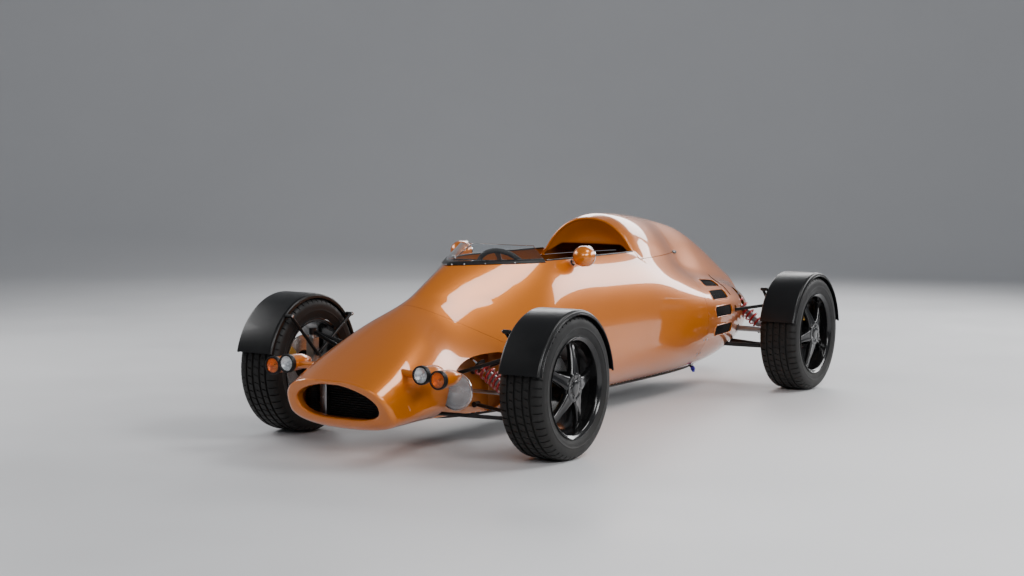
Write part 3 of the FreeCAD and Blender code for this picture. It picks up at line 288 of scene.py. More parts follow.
def pearlPaint():
    # gloss pearl: fine flakes shift the base, and the clear coat is slightly uneven
    material, tree, shader = startMaterial("pearlPaint", {
        "Metallic": 0.30, "Coat Weight": 1.0, "Coat Roughness": 0.015, "Coat IOR": 1.55,
        "Specular IOR Level": 0.2})
    place = objectPlace(tree)
    flakes = addNode(tree, "ShaderNodeTexVoronoi", inputs={"Vector": place, "Scale": 1700.0})
    tint = addNode(tree, "ShaderNodeSeparateColor", inputs={"Color": flakes.outputs["Color"]}).outputs
    rough = placeGroup(tree, mottle, {"Scale": 3.0, "Low": 0.29, "High": 0.33})["Value"]
    facing = addNode(tree, "ShaderNodeLayerWeight", inputs={"Blend": 0.35}).outputs["Facing"]
    body = twoTone(tree, facing, (0.62, 0.165, 0.004), (0.44, 0.100, 0.002))
    bright = mixColours(tree, tint["Red"], body, (0.78, 0.24, 0.014, 1))
    colour = mixColours(tree, product(tree, tint["Green"], 0.35), body, bright)
    coverShader(tree, shader, colour, rough, noise(tree, place, 140.0, 1.0), 0.00003)
    return material


def glassFinish(name, tint, rough, flutes, transmission, bend, coat, alpha=1.0):
    material, tree, shader = startMaterial(name, {
        "Transmission Weight": transmission, "IOR": bend, "Metallic": 0.0, "Coat Weight": coat,
        "Alpha": alpha})
    patches = placeGroup(tree, mottle, {"Scale": 30.0, "Low": rough, "High": rough + 0.04})
    colour = twoTone(tree, patches["Mask"], tint, [v * 0.94 for v in tint])
    bands = None
    if flutes > 0:
        bands = addNode(tree, "ShaderNodeTexWave", {"bands_direction": "Y"}, {
            "Vector": objectPlace(tree), "Scale": 60.0, "Distortion": 0.4}).outputs["Fac"]
    coverShader(tree, shader, colour, patches["Value"], bands, flutes)
    return material


def leatherFinish():
    material, tree, shader = startMaterial("blackLeather", {"Sheen Weight": 0.15, "Sheen Roughness": 0.4})
    skin = placeGroup(tree, hide, {"Scale": 420.0})
    patches = placeGroup(tree, mottle, {"Scale": 9.0, "Low": 0.42, "High": 0.58})
    tones = twoTone(tree, patches["Mask"], (0.012, 0.011, 0.011), (0.028, 0.026, 0.025))
    # painted shade: the creases between the pebbles are painted near black
    colour = mixColours(tree, skin["Crease"], (0.006, 0.006, 0.006, 1), tones)
    coverShader(tree, shader, colour, patches["Value"], skin["Height"], 0.0006)
    return material


def turnedDisc():
    # rings left by the lathe and the pads, from the piece's own radius attribute
    material, tree, shader = startMaterial("turnedDisc", {"Metallic": 1.0, "Anisotropic": 0.4})
    radius = addNode(tree, "ShaderNodeAttribute", {"attribute_name": "ringRadius"}).outputs["Fac"]
    rings = addNode(tree, "ShaderNodeTexNoise", {"noise_dimensions": "1D"}, {
        "W": radius, "Scale": 900.0, "Detail": 3.0}).outputs["Fac"]
    colour = twoTone(tree, rings, (0.46, 0.46, 0.46), (0.66, 0.65, 0.64))
    coverShader(tree, shader, colour, remap(tree, rings, 0.3, 0.7, 0.22, 0.42), rings, 0.0002)
    return material


glasses = {
    # name: tint, roughness, depth of its flutes, transmission, bend of light, coat, alpha
    "screenClear": ((0.93, 0.96, 0.98), 0.0, 0.0, 1.0, 1.04, 1.0, 1.0),
    "lensClear": ((0.97, 0.98, 0.99), 0.02, 0.0004, 1.0, 1.2, 0.6, 1.0),
    "lensAmber": ((1.0, 0.36, 0.07), 0.03, 0.0004, 0.90, 1.2, 0.6, 1.0),
    "lensHead": ((0.86, 0.90, 0.94), 0.05, 0.0, 0.55, 1.3, 1.0, 0.62),
    "lensRed": ((0.70, 0.012, 0.012), 0.04, 0.0006, 0.8, 1.3, 0.6, 1.0),
}
looks = {name: plainFinish(name) for name in finishes}
looks.update({name: glassFinish(name, *row) for name, row in glasses.items()})
looks.update({"pearlPaint": pearlPaint(), "blackLeather": leatherFinish(), "turnedDisc": turnedDisc()})
print("materials made", len(looks))

# stage and the nodes that stay

stage = {
    "flat": 8.0, "sweep": 5.0, "wall": 9.0, "flatRows": 12, "sweepRows": 28, "across": (-60, -20, 0, 20, 60),
    "tones": ((0.70, 0.70, 0.71), (0.74, 0.74, 0.75)),
}


def setStage():
    # one pale floor that sweeps up behind the car; its flat rows lie closer together near the sweep
    toward = Vector((cos(camera["heading"]), sin(camera["heading"]), 0))
    beside = Vector((-toward.y, toward.x, 0))
    path = [(stage["flat"] - 0.5 * (stage["flatRows"] - i) ** 2, 0.0) for i in range(stage["flatRows"])]
    for i in range(stage["sweepRows"] + 1):
        angle = i / stage["sweepRows"] * pi / 2
        path.append((stage["flat"] + stage["sweep"] * sin(angle), stage["sweep"] * (1 - cos(angle))))
    path.append((path[-1][0], path[-1][1] + stage["wall"]))
    points = [toward * along + beside * y + Vector((0, 0, height))
              for along, height in path for y in stage["across"]]
    mesh = bpy.data.meshes.new("studioFloor")
    mesh.from_pydata(points, [], gridFaces(len(path), len(stage["across"]), False, False))
    mesh.shade_smooth()
    material, tree, shader = startMaterial("paleFloor", {})
    patches = placeGroup(tree, mottle, {"Scale": 1.3, "Low": 0.42, "High": 0.55})
    coverShader(tree, shader, twoTone(tree, patches["Mask"], *stage["tones"]), patches["Value"])
    mesh.materials.append(material)
    addObject("studioFloor", mesh)


# the nodes that are shown as they are
nodeFinishes = {
    "chassisPaint": ["chassis_tub"],
    "blackTube": ["front_wishbones", "rear_wishbones", "rear_frame", "steering_rack"],
    "floorBlack": ["floor_plate"],
    "greySteel": ["track_rods", "drive_shafts"],
    "castAlloy": ["front_upright_left", "front_upright_right", "rear_uprights"],
    "engineAlloy": ["engine_block"],
}


def setNodeFinishes():
    for look, names in nodeFinishes.items():
        for name in names:
            nodes[name].data.materials.clear()
            nodes[name].data.materials.append(looks[look])

# mesh tools: a part is its points, its faces and its look

def gridFaces(rows, across, closeRows=False, closeAcross=True):
    faces = []
    for i in range(rows if closeRows else rows - 1):
        for j in range(across if closeAcross else across - 1):
            near, further = i * across, (i + 1) % rows * across
            faces.append((near + j, near + (j + 1) % across, further + (j + 1) % across, further + j))
    return faces


def loftPart(rings, look, capped=True, closeRows=False):
    across = len(rings[0])
    faces = gridFaces(len(rings), across, closeRows)
    if capped and not closeRows:
        faces.append(tuple(range(across))[::-1])
        faces.append(tuple((len(rings) - 1) * across + j for j in range(across)))
    return [p for ring in rings for p in ring], faces, look


def mm(*numbers):
    # pairs of numbers in millimetres, as a list of points in metres
    return [(along / 1000, across / 1000) for along, across in zip(numbers[::2], numbers[1::2])]


def lathePart(profile, centre, axis, look, steps=48, closed=False):
    # the profile is distance along the axis and radius; an open one starts and ends on the axis
    axis = Vector(axis).normalized()
    side = axis.orthogonal().normalized()
    other = axis.cross(side)
    points = []
    for i in range(steps):
        angle = 2 * pi * i / steps
        out = side * cos(angle) + other * sin(angle)
        points += [Vector(centre) + axis * along + out * radius for along, radius in profile]
    return points, gridFaces(steps, len(profile), True, closed), look


def turnedParts(centre, axis, *rows):
    # round parts about one axis: look, steps, profile, and True where the profile closes on itself
    return [lathePart(row[2], centre, axis, row[0], row[1], *row[3:]) for row in rows]


def tubePart(path, radius, look, sides=10, closed=False):
    path = [Vector(p) for p in path]
    count = len(path)
    rings = []
    side = None
    for i, place in enumerate(path):
        if closed:
            ahead = path[(i + 1) % count] - path[i - 1]
        else:
            ahead = path[min(i + 1, count - 1)] - path[max(i - 1, 0)]
        ahead.normalize()
        side = (side - ahead * side.dot(ahead)) if side else ahead.orthogonal()
        side.normalize()
        size = radius[i] if isinstance(radius, (list, tuple)) else radius
        rings.append([place + turned(side, ahead.cross(side), k / sides) * size for k in range(sides)])
    return loftPart(rings, look, not closed, closed)


def turned(first, second, share):
    # a direction turned from the first towards the second by a share of a full turn
    angle = 2 * pi * share
    return first * cos(angle) + second * sin(angle)


def slabPart(outline, thickness, look, bevel=0.0):
    # a flat outline pushed along a vector, with its edges eased
    outline = [Vector(p) for p in outline]
    push = Vector(thickness)
    middle = sum(outline, Vector()) / len(outline)
    easing = push.normalized() * bevel
    small = [middle + (p - middle) * (1 - bevel / max((p - middle).length, 1e-6)) for p in outline]
    full = [p + easing for p in outline]
    return loftPart([small, full, [p + push - easing for p in outline], [p + push for p in small]], look)


def roundedBox(low, high, radius, look, steps):
    # a block whose upright edges are rounded, with eased top and bottom
    outline = []
    lowX, lowY, highX, highY = low[0] + radius, low[1] + radius, high[0] - radius, high[1] - radius
    corners = ((highX, highY, 0), (lowX, highY, 90), (lowX, lowY, 180), (highX, lowY, 270))
    for cornerX, cornerY, start in corners:
        outline += arcPoints(cornerX, cornerY, radius, start, start + 90, steps)
    return slabPart([(x, y, low[2]) for x, y in outline], (0, 0, high[2] - low[2]), look, radius * 0.4)


def movedParts(parts, matrix):
    return [([matrix @ Vector(p) for p in points], faces, look) for points, faces, look in parts]


def mirrored(point):
    return Vector((point[0], -point[1], point[2]))


def mirrorParts(parts):
    return [([mirrored(p) for p in points], [face[::-1] for face in faces], look)
            for points, faces, look in parts]


def bothSides(parts):
    return parts + mirrorParts(parts)


def facingOut(part):
    # a closed part whose faces enclose less than nothing is turned inside out
    points, faces, look = part
    middle = sum((Vector(p) for p in points), Vector()) / len(points)
    volume = 0.0
    for face in faces:
        first = Vector(points[face[0]]) - middle
        for k in range(1, len(face) - 1):
            volume += first.dot((Vector(points[face[k]]) - middle).cross(Vector(points[face[k + 1]]) - middle))
    return part if volume > 0 else (points, [face[::-1] for face in faces], look)


def weldMesh(mesh, distance=1e-6, turnOut=False, split=False):
    shape = bmesh.new()
    shape.from_mesh(mesh)
    bmesh.ops.remove_doubles(shape, verts=shape.verts, dist=distance)
    if turnOut:
        bmesh.ops.recalc_face_normals(shape, faces=shape.faces)
    if split:
        bmesh.ops.triangulate(shape, faces=[f for f in shape.faces if len(f.verts) > 4])
    shape.to_mesh(mesh)
    shape.free()


def smoothMesh(mesh, sharp):
    mesh.shade_smooth()
    mesh.set_sharp_from_angle(angle=radians(sharp))


def settle(piece, body, stands=()):
    if body:
        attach(piece, body)
    if stands:
        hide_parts(*stands)


def makePiece(name, parts, body, stands=(), sharp=32, outward=False):
    mesh = bpy.data.meshes.new(name)
    points, faces, marks, used = [], [], [], []
    for part in parts:
        part = part if outward else facingOut(part)
        if part[2] not in used:
            used.append(part[2])
        faces.extend(tuple(len(points) + k for k in face) for face in part[1])
        points.extend(part[0])
        marks.extend([used.index(part[2])] * len(part[1]))
    mesh.from_pydata([tuple(p) for p in points], [], faces)
    mesh.polygons.foreach_set("material_index", marks)
    for look in used:
        if look in looks:
            mesh.materials.append(looks[look])
    weldMesh(mesh, turnOut=outward)
    smoothMesh(mesh, sharp)
    piece = addObject(name, mesh)
    settle(piece, body, stands)
    return piece


def dropPiece(piece):
    mesh = piece.data
    bpy.data.objects.remove(piece)
    bpy.data.meshes.remove(mesh)


def bakeModifiers(piece):
    # the mesh with its modifiers worked in takes the place of the old one
    bpy.context.view_layer.update()
    made = bpy.data.meshes.new_from_object(piece.evaluated_get(bpy.context.evaluated_depsgraph_get()))
    piece.modifiers.clear()
    old = piece.data
    made.name = old.name
    piece.data = made
    bpy.data.meshes.remove(old)


def cutPiece(piece, cuts, mode="DIFFERENCE"):
    for part in cuts:
        cutter = makePiece("cutter", [part], None)
        change = piece.modifiers.new("cut", "BOOLEAN")
        change.operation = mode
        change.solver = "EXACT"
        change.object = cutter
        bakeModifiers(piece)
        dropPiece(cutter)


def prismPart(outline, push):
    return loftPart([[Vector(p) for p in outline], [Vector(p) + Vector(push) for p in outline]], "none")


def openBox(lowX, highX, lowZ, highZ):
    # a cutter that is wider than the car
    return prismPart([(lowX, -0.9, lowZ), (highX, -0.9, lowZ), (highX, 0.9, lowZ), (lowX, 0.9, lowZ)],
                     (0, 0, highZ - lowZ))


def arcPoints(centreX, centreY, radius, start, end, count):
    # degrees, both ends included
    turns = [radians(start + (end - start) * k / count) for k in range(count + 1)]
    return [(centreX + radius * cos(turn), centreY + radius * sin(turn)) for turn in turns]


def lastInside(low, high, inside):
    # halves the span again and again, and keeps the half where the test changes
    for _ in range(40):
        middle = (low + high) / 2
        if inside(middle):
            low = middle
        else:
            high = middle
    return low


def smoothStep(value):
    value = min(max(value, 0), 1)
    return value * value * (3 - 2 * value)


# the body's form, from the same sections as the solids

bodyForm = {
    "length": 3.518, "halfWidth": 0.354, "height": 0.868, "noseX": 1.759, "humpFrontX": -0.281,
    "tailShutX": -0.881, "tailEndX": -1.759, "blendRun": 0.220, "blendShare": 0.10, "wall": 0.005,
    # along, half width, belt, crown and keel as shares, then the upper and lower power
    "hull": [
        (-0.011, 0.653, 0.217, 0.362, 0.138, 2.50, 2.3), (0.0156, 0.695, 0.224, 0.419, 0.139, 2.50, 2.4),
        (0.054, 0.737, 0.236, 0.499, 0.145, 2.45, 2.4), (0.111, 0.732, 0.256, 0.612, 0.144, 2.05, 2.4),
        (0.168, 0.718, 0.274, 0.707, 0.134, 1.50, 2.4), (0.225, 0.760, 0.301, 0.823, 0.119, 1.47, 2.4),
        (0.290, 0.879, 0.344, 0.935, 0.106, 1.75, 2.4), (0.3525, 0.927, 0.384, 0.994, 0.097, 2.40, 2.4),
        (0.466, 0.960, 0.423, 1.000, 0.092, 2.40, 2.4), (0.580, 0.994, 0.438, 0.950, 0.092, 2.40, 2.4),
        (0.679, 1.000, 0.435, 0.841, 0.092, 2.20, 2.4), (0.765, 0.989, 0.429, 0.737, 0.097, 2.10, 2.3),
        (0.850, 0.932, 0.420, 0.674, 0.121, 2.10, 2.2), (0.921, 0.785, 0.417, 0.622, 0.173, 2.10, 2.1),
        (0.978, 0.565, 0.417, 0.565, 0.236, 2.00, 2.0), (1.000, 0.400, 0.417, 0.515, 0.285, 2.00, 2.0),
    ],
    # along, half width and crown of the headrest fairing, and its power
    "hump": [
        (0.5685, 0.880, 1.014, 2.20), (0.6026, 0.876, 1.044, 2.20), (0.6709, 0.847, 1.029, 1.95),
        (0.7504, 0.743, 0.991, 1.50), (0.8357, 0.636, 0.925, 1.50), (0.9068, 0.523, 0.820, 1.50),
        (1.000, 0.367, 0.640, 1.50),
    ],
    # soft crease where the nose runs into the scuttle
    "crease": {"place": 0.612, "rise": 0.09, "atX": 1.1716, "depth": 0.0010, "reach": 0.020,
               "highX": 1.20, "lowX": 0.83, "fade": 0.06},
    "columns": 144,
}


def splineAt(rows, share):
    last = len(rows) - 2
    i = 0
    while i < last and rows[i + 1][0] < share:
        i += 1
    low, high = rows[i], rows[i + 1]
    before, after = rows[max(i - 1, 0)], rows[min(i + 2, len(rows) - 1)]
    span = high[0] - low[0]
    t = (share - low[0]) / span
    values = []
    for k in range(1, len(low)):
        start = (high[k] - before[k]) / (high[0] - before[0]) * span
        end = (after[k] - low[k]) / (after[0] - low[0]) * span
        values.append((2 * t ** 3 - 3 * t ** 2 + 1) * low[k] + (t ** 3 - 2 * t ** 2 + t) * start
                      + (3 * t ** 2 - 2 * t ** 3) * high[k] + (t ** 3 - t ** 2) * end)
    return values


def ovalRadius(half, rise, power, angle):
    return ((abs(cos(angle)) / half) ** power + (abs(sin(angle)) / rise) ** power) ** (-1 / power)


sectionCache = {}


def sectionAt(x):
    # half width, belt, crown, keel and powers of the hull, then half width, crown and power of the hump
    key = round(x, 6)
    if key not in sectionCache:
        share = (bodyForm["noseX"] - x) / bodyForm["length"]
        half, belt, crown, keel, upper, lower = splineAt(bodyForm["hull"], share)
        wide, top, power = splineAt(bodyForm["hump"], share)
        width, high = bodyForm["halfWidth"], bodyForm["height"]
        sectionCache[key] = (half * width, belt * high, crown * high, keel * high, upper, lower,
                             wide * width, top * high, power)
    return sectionCache[key]


def beltAt(x):
    return sectionAt(x)[1]


def creaseDepth(x, z):
    crease = bodyForm["crease"]
    if not crease["lowX"] < x < crease["highX"]:
        return 0.0
    away = (z - crease["place"] - crease["rise"] * (x - crease["atX"])) / crease["reach"]
    fade = min((crease["highX"] - x) / crease["fade"], (x - crease["lowX"]) / crease["fade"], 1)
    return crease["depth"] * exp(-away * away) * smoothStep(fade)


def bodyRadius(x, angle, humped=True):
    half, belt, crown, keel, upper, lower, wide, top, power = sectionAt(x)
    if sin(angle) < 0:
        return ovalRadius(half, belt - keel, lower, angle)
    radius = ovalRadius(half, crown - belt, upper, angle)
    if sin(angle) > 0:
        if humped and x < bodyForm["humpFrontX"] + 0.0003:
            hump = ovalRadius(wide, top - belt, power, angle)
            grown = min(max((bodyForm["humpFrontX"] - x) / bodyForm["blendRun"], 0), 1)
            reach = bodyForm["blendShare"] * bodyForm["halfWidth"] * grown * (2 - grown)
            near = max(reach - abs(radius - hump), 0) / reach if reach > 0 else 0
            radius = max(radius, hump) + near * near * reach / 4
        radius -= creaseDepth(x, belt + radius * sin(angle))
    return radius


def bodyPoint(x, angle, inset=0.0, humped=True, tilt=0.0, level=0.240):
    # on a plane that leans by tilt, the place is found by going back and forth a few times
    here = x
    for _ in range(8 if tilt else 1):
        radius = bodyRadius(here, angle, humped) - inset
        z = beltAt(here) + radius * sin(angle)
        here = x + tilt * (z - level)
    return Vector((here, radius * cos(angle), z))


def columnAngles():
    return [-pi / 2 + 2 * pi * j / bodyForm["columns"] for j in range(bodyForm["columns"])]


def bodyRing(x, inset=0.0, humped=True, tilt=0.0):
    return [bodyPoint(x, angle, inset, humped, tilt) for angle in columnAngles()]


def skinDepth(x, y, z):
    # how far a place lies outside the skin, measured from the section's middle
    z -= beltAt(x)
    return hypot(y, z) - bodyRadius(x, atan2(z, y))


def bodyNormal(place):
    # the step along the car doesn't cross the front edge of the hump
    x, y, z = place
    step, front = 0.0004, bodyForm["humpFrontX"]
    ahead = 0.002 if x < front - 0.003 or x > front else -0.002
    here = skinDepth(x, y, z)
    slope = Vector(((skinDepth(x + ahead, y, z) - here) / ahead, (skinDepth(x, y + step, z) - here) / step,
                    (skinDepth(x, y, z + step) - here) / step))
    return slope.normalized(), here


def skinPlace(x, z, inset=0.0, humped=False):
    # the place on the left half of the skin at this height, or at the crown when it lies lower
    def below(angle):
        return bodyPoint(x, angle, inset, humped).z < z
    return bodyPoint(x, lastInside(-pi / 2, pi / 2, below), inset, humped)


def skinSpot(x, z, lift=0.0002):
    # a place just off the skin at this height, with the skin's own direction
    place = skinPlace(x, z, 0.0, True)
    normal = bodyNormal(place)[0]
    return place + normal * lift, normal


def skinAlong(base, out, inset=0.0):
    # where a line from inside the body meets the skin
    return base + out * lastInside(0.0, 0.5, lambda run: skinDepth(*(base + out * run)) < -inset)


def finishPanel(piece):
    # corners on the outer and inner skin take the form's own normal, so that cuts leave no trace in the gloss
    mesh = piece.data
    weldMesh(mesh, 2e-6, split=True)
    smoothMesh(mesh, 28)
    corner = [Vector(n.vector) for n in mesh.corner_normals]
    found = [bodyNormal(v.co) for v in mesh.vertices]
    for face in mesh.polygons:
        for k in face.loop_indices:
            normal, depth = found[mesh.loops[k].vertex_index]
            if abs(depth) < 0.0004 and face.normal.dot(normal) > 0.8:
                corner[k] = normal
            elif abs(depth + bodyForm["wall"]) < 0.0004 and face.normal.dot(normal) < -0.8:
                corner[k] = -normal
    mesh.normals_split_custom_set([tuple(n) for n in corner])


setCamera()
setLights()
setStage()
setNodeFinishes()

# body panels

panelForm = {
    "step": 0.016, "floor": 0.113, "sill": 0.735, "cover": 0.700, "seam": 0.0022,
    # mouth: the lip leans back with its height, and the skin behind it leans less and less
    "lipX": 1.7034, "tilt": 0.62, "level": 0.240, "throat": (0.190, 0.076, 0.066), "powers": (1.8, 3.0),
    "outerRoll": 0.028, "innerRoll": 0.015, "lipDeep": 0.040, "leanFrom": 1.34, "leanTo": 1.60,
    # how far the nose and the main body are drawn before they are cut
    "noseBack": 0.84, "noseFront": 1.66, "mainFront": 1.30,
    # shut line behind the nose: leaning above, upright below
    "shutX": 1.239, "shutZ": 0.584, "shutRun": 2.1, "shutLow": 0.400,
    # opening over the front suspension
    "archX": 0.959, "archLow": 0.130, "archLength": 0.375, "archRise": 0.249, "archPower": 2.4,
    "archBack": 0.869, "archCorner": 0.060, "archSide": 0.160,
    "lamp": (1.279, 0.275, 0.258), "lampRoom": 0.079, "domeRoom": 0.1661, "domeBack": 0.1431,
    # vents in the tail
    "ventX": -1.091, "ventLength": 0.225, "ventHeight": 0.051, "ventCorner": 0.017,
    "ventAngles": (34.0, 20.3, 5.4, -10.3), "tailRound": 0.012,
}
# clearances in the tail, on both sides: start, end and radius
tailRods = [
    ((-1.341, 0.150, 0.288), (-1.341, 0.560, 0.288), 0.023),
    ((-1.445, 0.425, 0.2543), (-1.455, 0.1923, 0.470), 0.0435),
    ((-1.231, 0.1943, 0.215), (-1.341, 0.548, 0.2187), 0.0195),
    ((-1.421, 0.1943, 0.215), (-1.341, 0.548, 0.2187), 0.0195),
    ((-1.231, 0.1943, 0.368), (-1.341, 0.548, 0.4463), 0.0195),
    ((-1.421, 0.1943, 0.368), (-1.341, 0.548, 0.4463), 0.0195),
    ((-1.80, 0.062, 0.372), (-1.72, 0.062, 0.372), 0.0283),
]
pipeRod = ((-1.80, 0, 0.300), (-1.44, 0, 0.300), 0.0243)


def alongStations(start, end, step=panelForm["step"]):
    # places along the car, from the front to the back
    count = max(int(round(abs(end - start) / step)), 1)
    return sorted((round(start + (end - start) * i / count, 5) for i in range(count + 1)), reverse=True)


def throatPoint(angle, depth):
    half, rise, drop = panelForm["throat"]
    over = sin(angle) >= 0
    radius = ovalRadius(half, rise if over else drop, panelForm["powers"][0 if over else 1], angle)
    y, z = radius * cos(angle), radius * sin(angle)
    return Vector((panelForm["lipX"] - depth + panelForm["tilt"] * z, y, z + panelForm["level"]))


def bezier(a, b, c, d, t):
    return a * (1 - t) ** 3 + b * 3 * t * (1 - t) ** 2 + c * 3 * t * t * (1 - t) + d * t ** 3


def noseLean(x):
    start, end = panelForm["leanFrom"], panelForm["leanTo"]
    return panelForm["tilt"] * smoothStep((x - start) / (end - start))


def noseSkin():
    # the skin runs forward, rolls over a thick lip and runs back inside as the throat
    form = panelForm
    quarter, steps = 0.5523, 8
    stations = alongStations(form["noseBack"], form["noseFront"])
    rings = [bodyRing(x, 0.0, True, noseLean(x)) for x in stations[::-1]]
    rolls = [[] for k in range(2 * steps + 2)]

    def onFront(place):
        return Vector((form["lipX"] + form["tilt"] * (place.z - form["level"]), place.y, place.z))

    for turn, before in zip(columnAngles(), rings[-1]):
        # both rolls shrink where the lip is thin
        place = bodyPoint(form["lipX"] - form["outerRoll"] * 0.5, turn, 0.0, True, form["tilt"])
        mouth = throatPoint(turn, 0.0)
        room = hypot(place.y - mouth.y, place.z - mouth.z)
        outer, inner = min(form["outerRoll"], room * 0.62), min(form["innerRoll"], room * 0.34)
        start, end = bodyPoint(form["lipX"] - outer, turn, 0.0, True, form["tilt"]), throatPoint(turn, inner)
        inward = Vector((0, end.y - start.y, end.z - start.z)).normalized()
        flat, high = onFront(start + inward * outer), onFront(end - inward * inner)
        pull = start + (start - before).normalized() * outer * quarter
        line = [bezier(start, pull, onFront(flat - inward * outer * quarter), flat, k / steps)
                for k in range(steps + 1)]
        pull = end + Vector((inner * quarter, 0, 0))
        line += [bezier(high, onFront(high + inward * inner * quarter), pull, end, k / steps)
                 for k in range(steps + 1)]
        for ring, point in zip(rolls, line):
            ring.append(point)
    rings += rolls
    rings.append([throatPoint(turn, form["lipDeep"]) for turn in columnAngles()])
    rings.append(bodyRing(form["lipX"] - form["lipDeep"], bodyForm["wall"], True, form["tilt"]))
    rings += [bodyRing(x, bodyForm["wall"], True, noseLean(x)) for x in stations[1:]]
    return makePiece("bodyNose", [loftPart(rings, "pearlPaint", False, True)], None)


def shellPiece(name, stations):
    rings = [bodyRing(x) for x in stations] + [bodyRing(x, bodyForm["wall"]) for x in stations[::-1]]
    return makePiece(name, [loftPart(rings, "pearlPaint", False, True)], None)


def noseRoom(gap):
    # everything ahead of the shut line
    form = panelForm
    top = form["shutX"] + gap
    knee = top - form["shutRun"] * (form["shutZ"] - form["shutLow"])
    outline = [(knee, -0.8, -0.1), (knee, -0.8, form["shutLow"]),
               (top + form["shutRun"] * 0.6, -0.8, form["shutZ"] + 0.6), (3.5, -0.8, 1.2), (3.5, -0.8, -0.1)]
    return prismPart(outline, (0, 1.6, 0))


def archRooms():
    form = panelForm
    outline = []
    for i in range(25):
        turn = pi / 2 * i / 24
        outline.append((form["archX"] + form["archLength"] * cos(turn) ** (2 / form["archPower"]),
                        form["archLow"] + form["archRise"] * sin(turn) ** (2 / form["archPower"])))
    corner, back = form["archCorner"], form["archBack"]
    outline += arcPoints(back + corner, form["archLow"] + form["archRise"] - corner, corner, 90, 180, 8)
    outline += [(back, 0.05), (form["archX"] + form["archLength"], 0.05)]
    return [prismPart([(x, side * form["archSide"], z) for x, z in outline], (0, side * 0.6, 0))
            for side in (1, -1)]


def lampRooms():
    radius, dome, back = panelForm["lampRoom"], panelForm["domeRoom"], panelForm["domeBack"]
    profile = [(-0.12, 0), (-0.12, radius), (0.0, radius)]
    for k in range(7):
        along = k / 6 * (dome - back)
        profile.append((along, sqrt(max(dome ** 2 - (along + back) ** 2, 0))))
    return bothSides([lathePart(profile, panelForm["lamp"], (1, 0, 0), "none", 64)])


def endPanel(piece, node):
    finishPanel(piece)
    settle(piece, "chassis", (node,))


def makeNose():
    piece = noseSkin()
    cutPiece(piece, [noseRoom(panelForm["seam"])], "INTERSECT")
    cuts = [openBox(0, 3, -0.1, panelForm["floor"])]
    for arch, lamp in zip(archRooms(), lampRooms()):
        cuts += [arch, lamp]
    cutPiece(piece, cuts)
    endPanel(piece, "nose_panel")


def makeMainBody():
    front, shut = bodyForm["humpFrontX"], bodyForm["tailShutX"] + panelForm["seam"]
    stations = alongStations(front + 0.0006, panelForm["mainFront"]) + alongStations(shut, front)
    piece = shellPiece("bodyMain", stations)
    cutPiece(piece, [noseRoom(0.0), openBox(-3, 3, -0.1, panelForm["floor"]),
                     openBox(front, 2, panelForm["sill"], 1.2),
                     openBox(-3, front, panelForm["cover"], 1.2)] + archRooms())
    endPanel(piece, "main_body")


# headrest

headForm = {
    "roll": 0.0085, "faceX": -0.2865, "lowZ": 0.762, "dropZ": 0.040, "dropFrom": 0.150, "dropTo": 0.236,
    "dish": 0.034, "dishReach": 0.085, "wall": 0.004, "inset": 0.011, "edge": 0.005, "columns": 56, "rows": 26,
}


def humpHeight(y, x, inset):
    # height of the hump's form above a place beside the middle
    angle = lastInside(0.0, pi / 2, lambda angle: bodyPoint(x, angle, inset).y > abs(y))
    return bodyPoint(x, angle, inset).z


def slotHeight(y):
    start, end = headForm["dropFrom"], headForm["dropTo"]
    return headForm["lowZ"] - headForm["dropZ"] * smoothStep((abs(y) - start) / (end - start))


def headFace():
    # dished panel between the rolled edge and the mouth of the rear cockpit
    form = headForm
    columns, rows = form["columns"], form["rows"]
    wide = 0.2
    while humpHeight(wide, form["faceX"], form["inset"]) > slotHeight(wide) + 0.0005:
        wide += 0.0005
    rings = []
    for i in range(columns + 1):
        y = wide * sin(pi / 2 * (2 * i / columns - 1)) * 0.9995
        high, low = humpHeight(y, form["faceX"], form["inset"]), slotHeight(y)
        front = []
        for k in range(rows + 1):
            z = low + (high - low) * k / rows
            deep = sin(pi / 2 * min((high - z) / form["dishReach"], 1)) ** 1.2
            deep *= 1 - (abs(y) / wide) ** 2.4
            edge = max(form["edge"] - (z - low), 0) / form["edge"]
            front.append(Vector((form["faceX"] - form["dish"] * deep - edge * edge * 0.003, y, z)))
        rings.append(front + [p - Vector((form["wall"], 0, 0)) for p in front[::-1]])
    return loftPart(rings, "pearlPaint")


def headRoll():
    # thick rounded front edge, from one side of the fairing over the top to the other
    roll, base = headForm["roll"], panelForm["cover"]
    x = bodyForm["humpFrontX"] - roll
    path = [bodyPoint(x, pi * k / 96, roll) for k in range(97)]
    path = [p for p in path if p.z > base + 0.004]
    ends = [Vector((x, path[k].y, base + 0.001)) for k in (0, -1)]
    return tubePart([ends[0]] + path + [ends[1]], roll, "pearlPaint", 24)


def makeHeadrest():
    # the fairing with its thick rounded front edge and dished face
    front, shut = bodyForm["humpFrontX"] - headForm["roll"], bodyForm["tailShutX"] + panelForm["seam"]
    piece = shellPiece("headrest", alongStations(shut, front))
    cutPiece(piece, [openBox(-3, 0, panelForm["cover"] + panelForm["seam"], 1.2)], "INTERSECT")
    extra = makePiece("headFace", [headFace(), headRoll()], None)
    shape = bmesh.new()
    shape.from_mesh(piece.data)
    shape.from_mesh(extra.data)
    shape.to_mesh(piece.data)
    shape.free()
    dropPiece(extra)
    endPanel(piece, "headrest_fairing")


# tail

def ventAxes(angle):
    # the way out of the body at this angle, the way up its skin, and the middle of the section
    turn = radians(angle)
    out, up = Vector((0, cos(turn), sin(turn))), Vector((0, -sin(turn), cos(turn)))
    return out, up, Vector((panelForm["ventX"], 0, beltAt(panelForm["ventX"])))


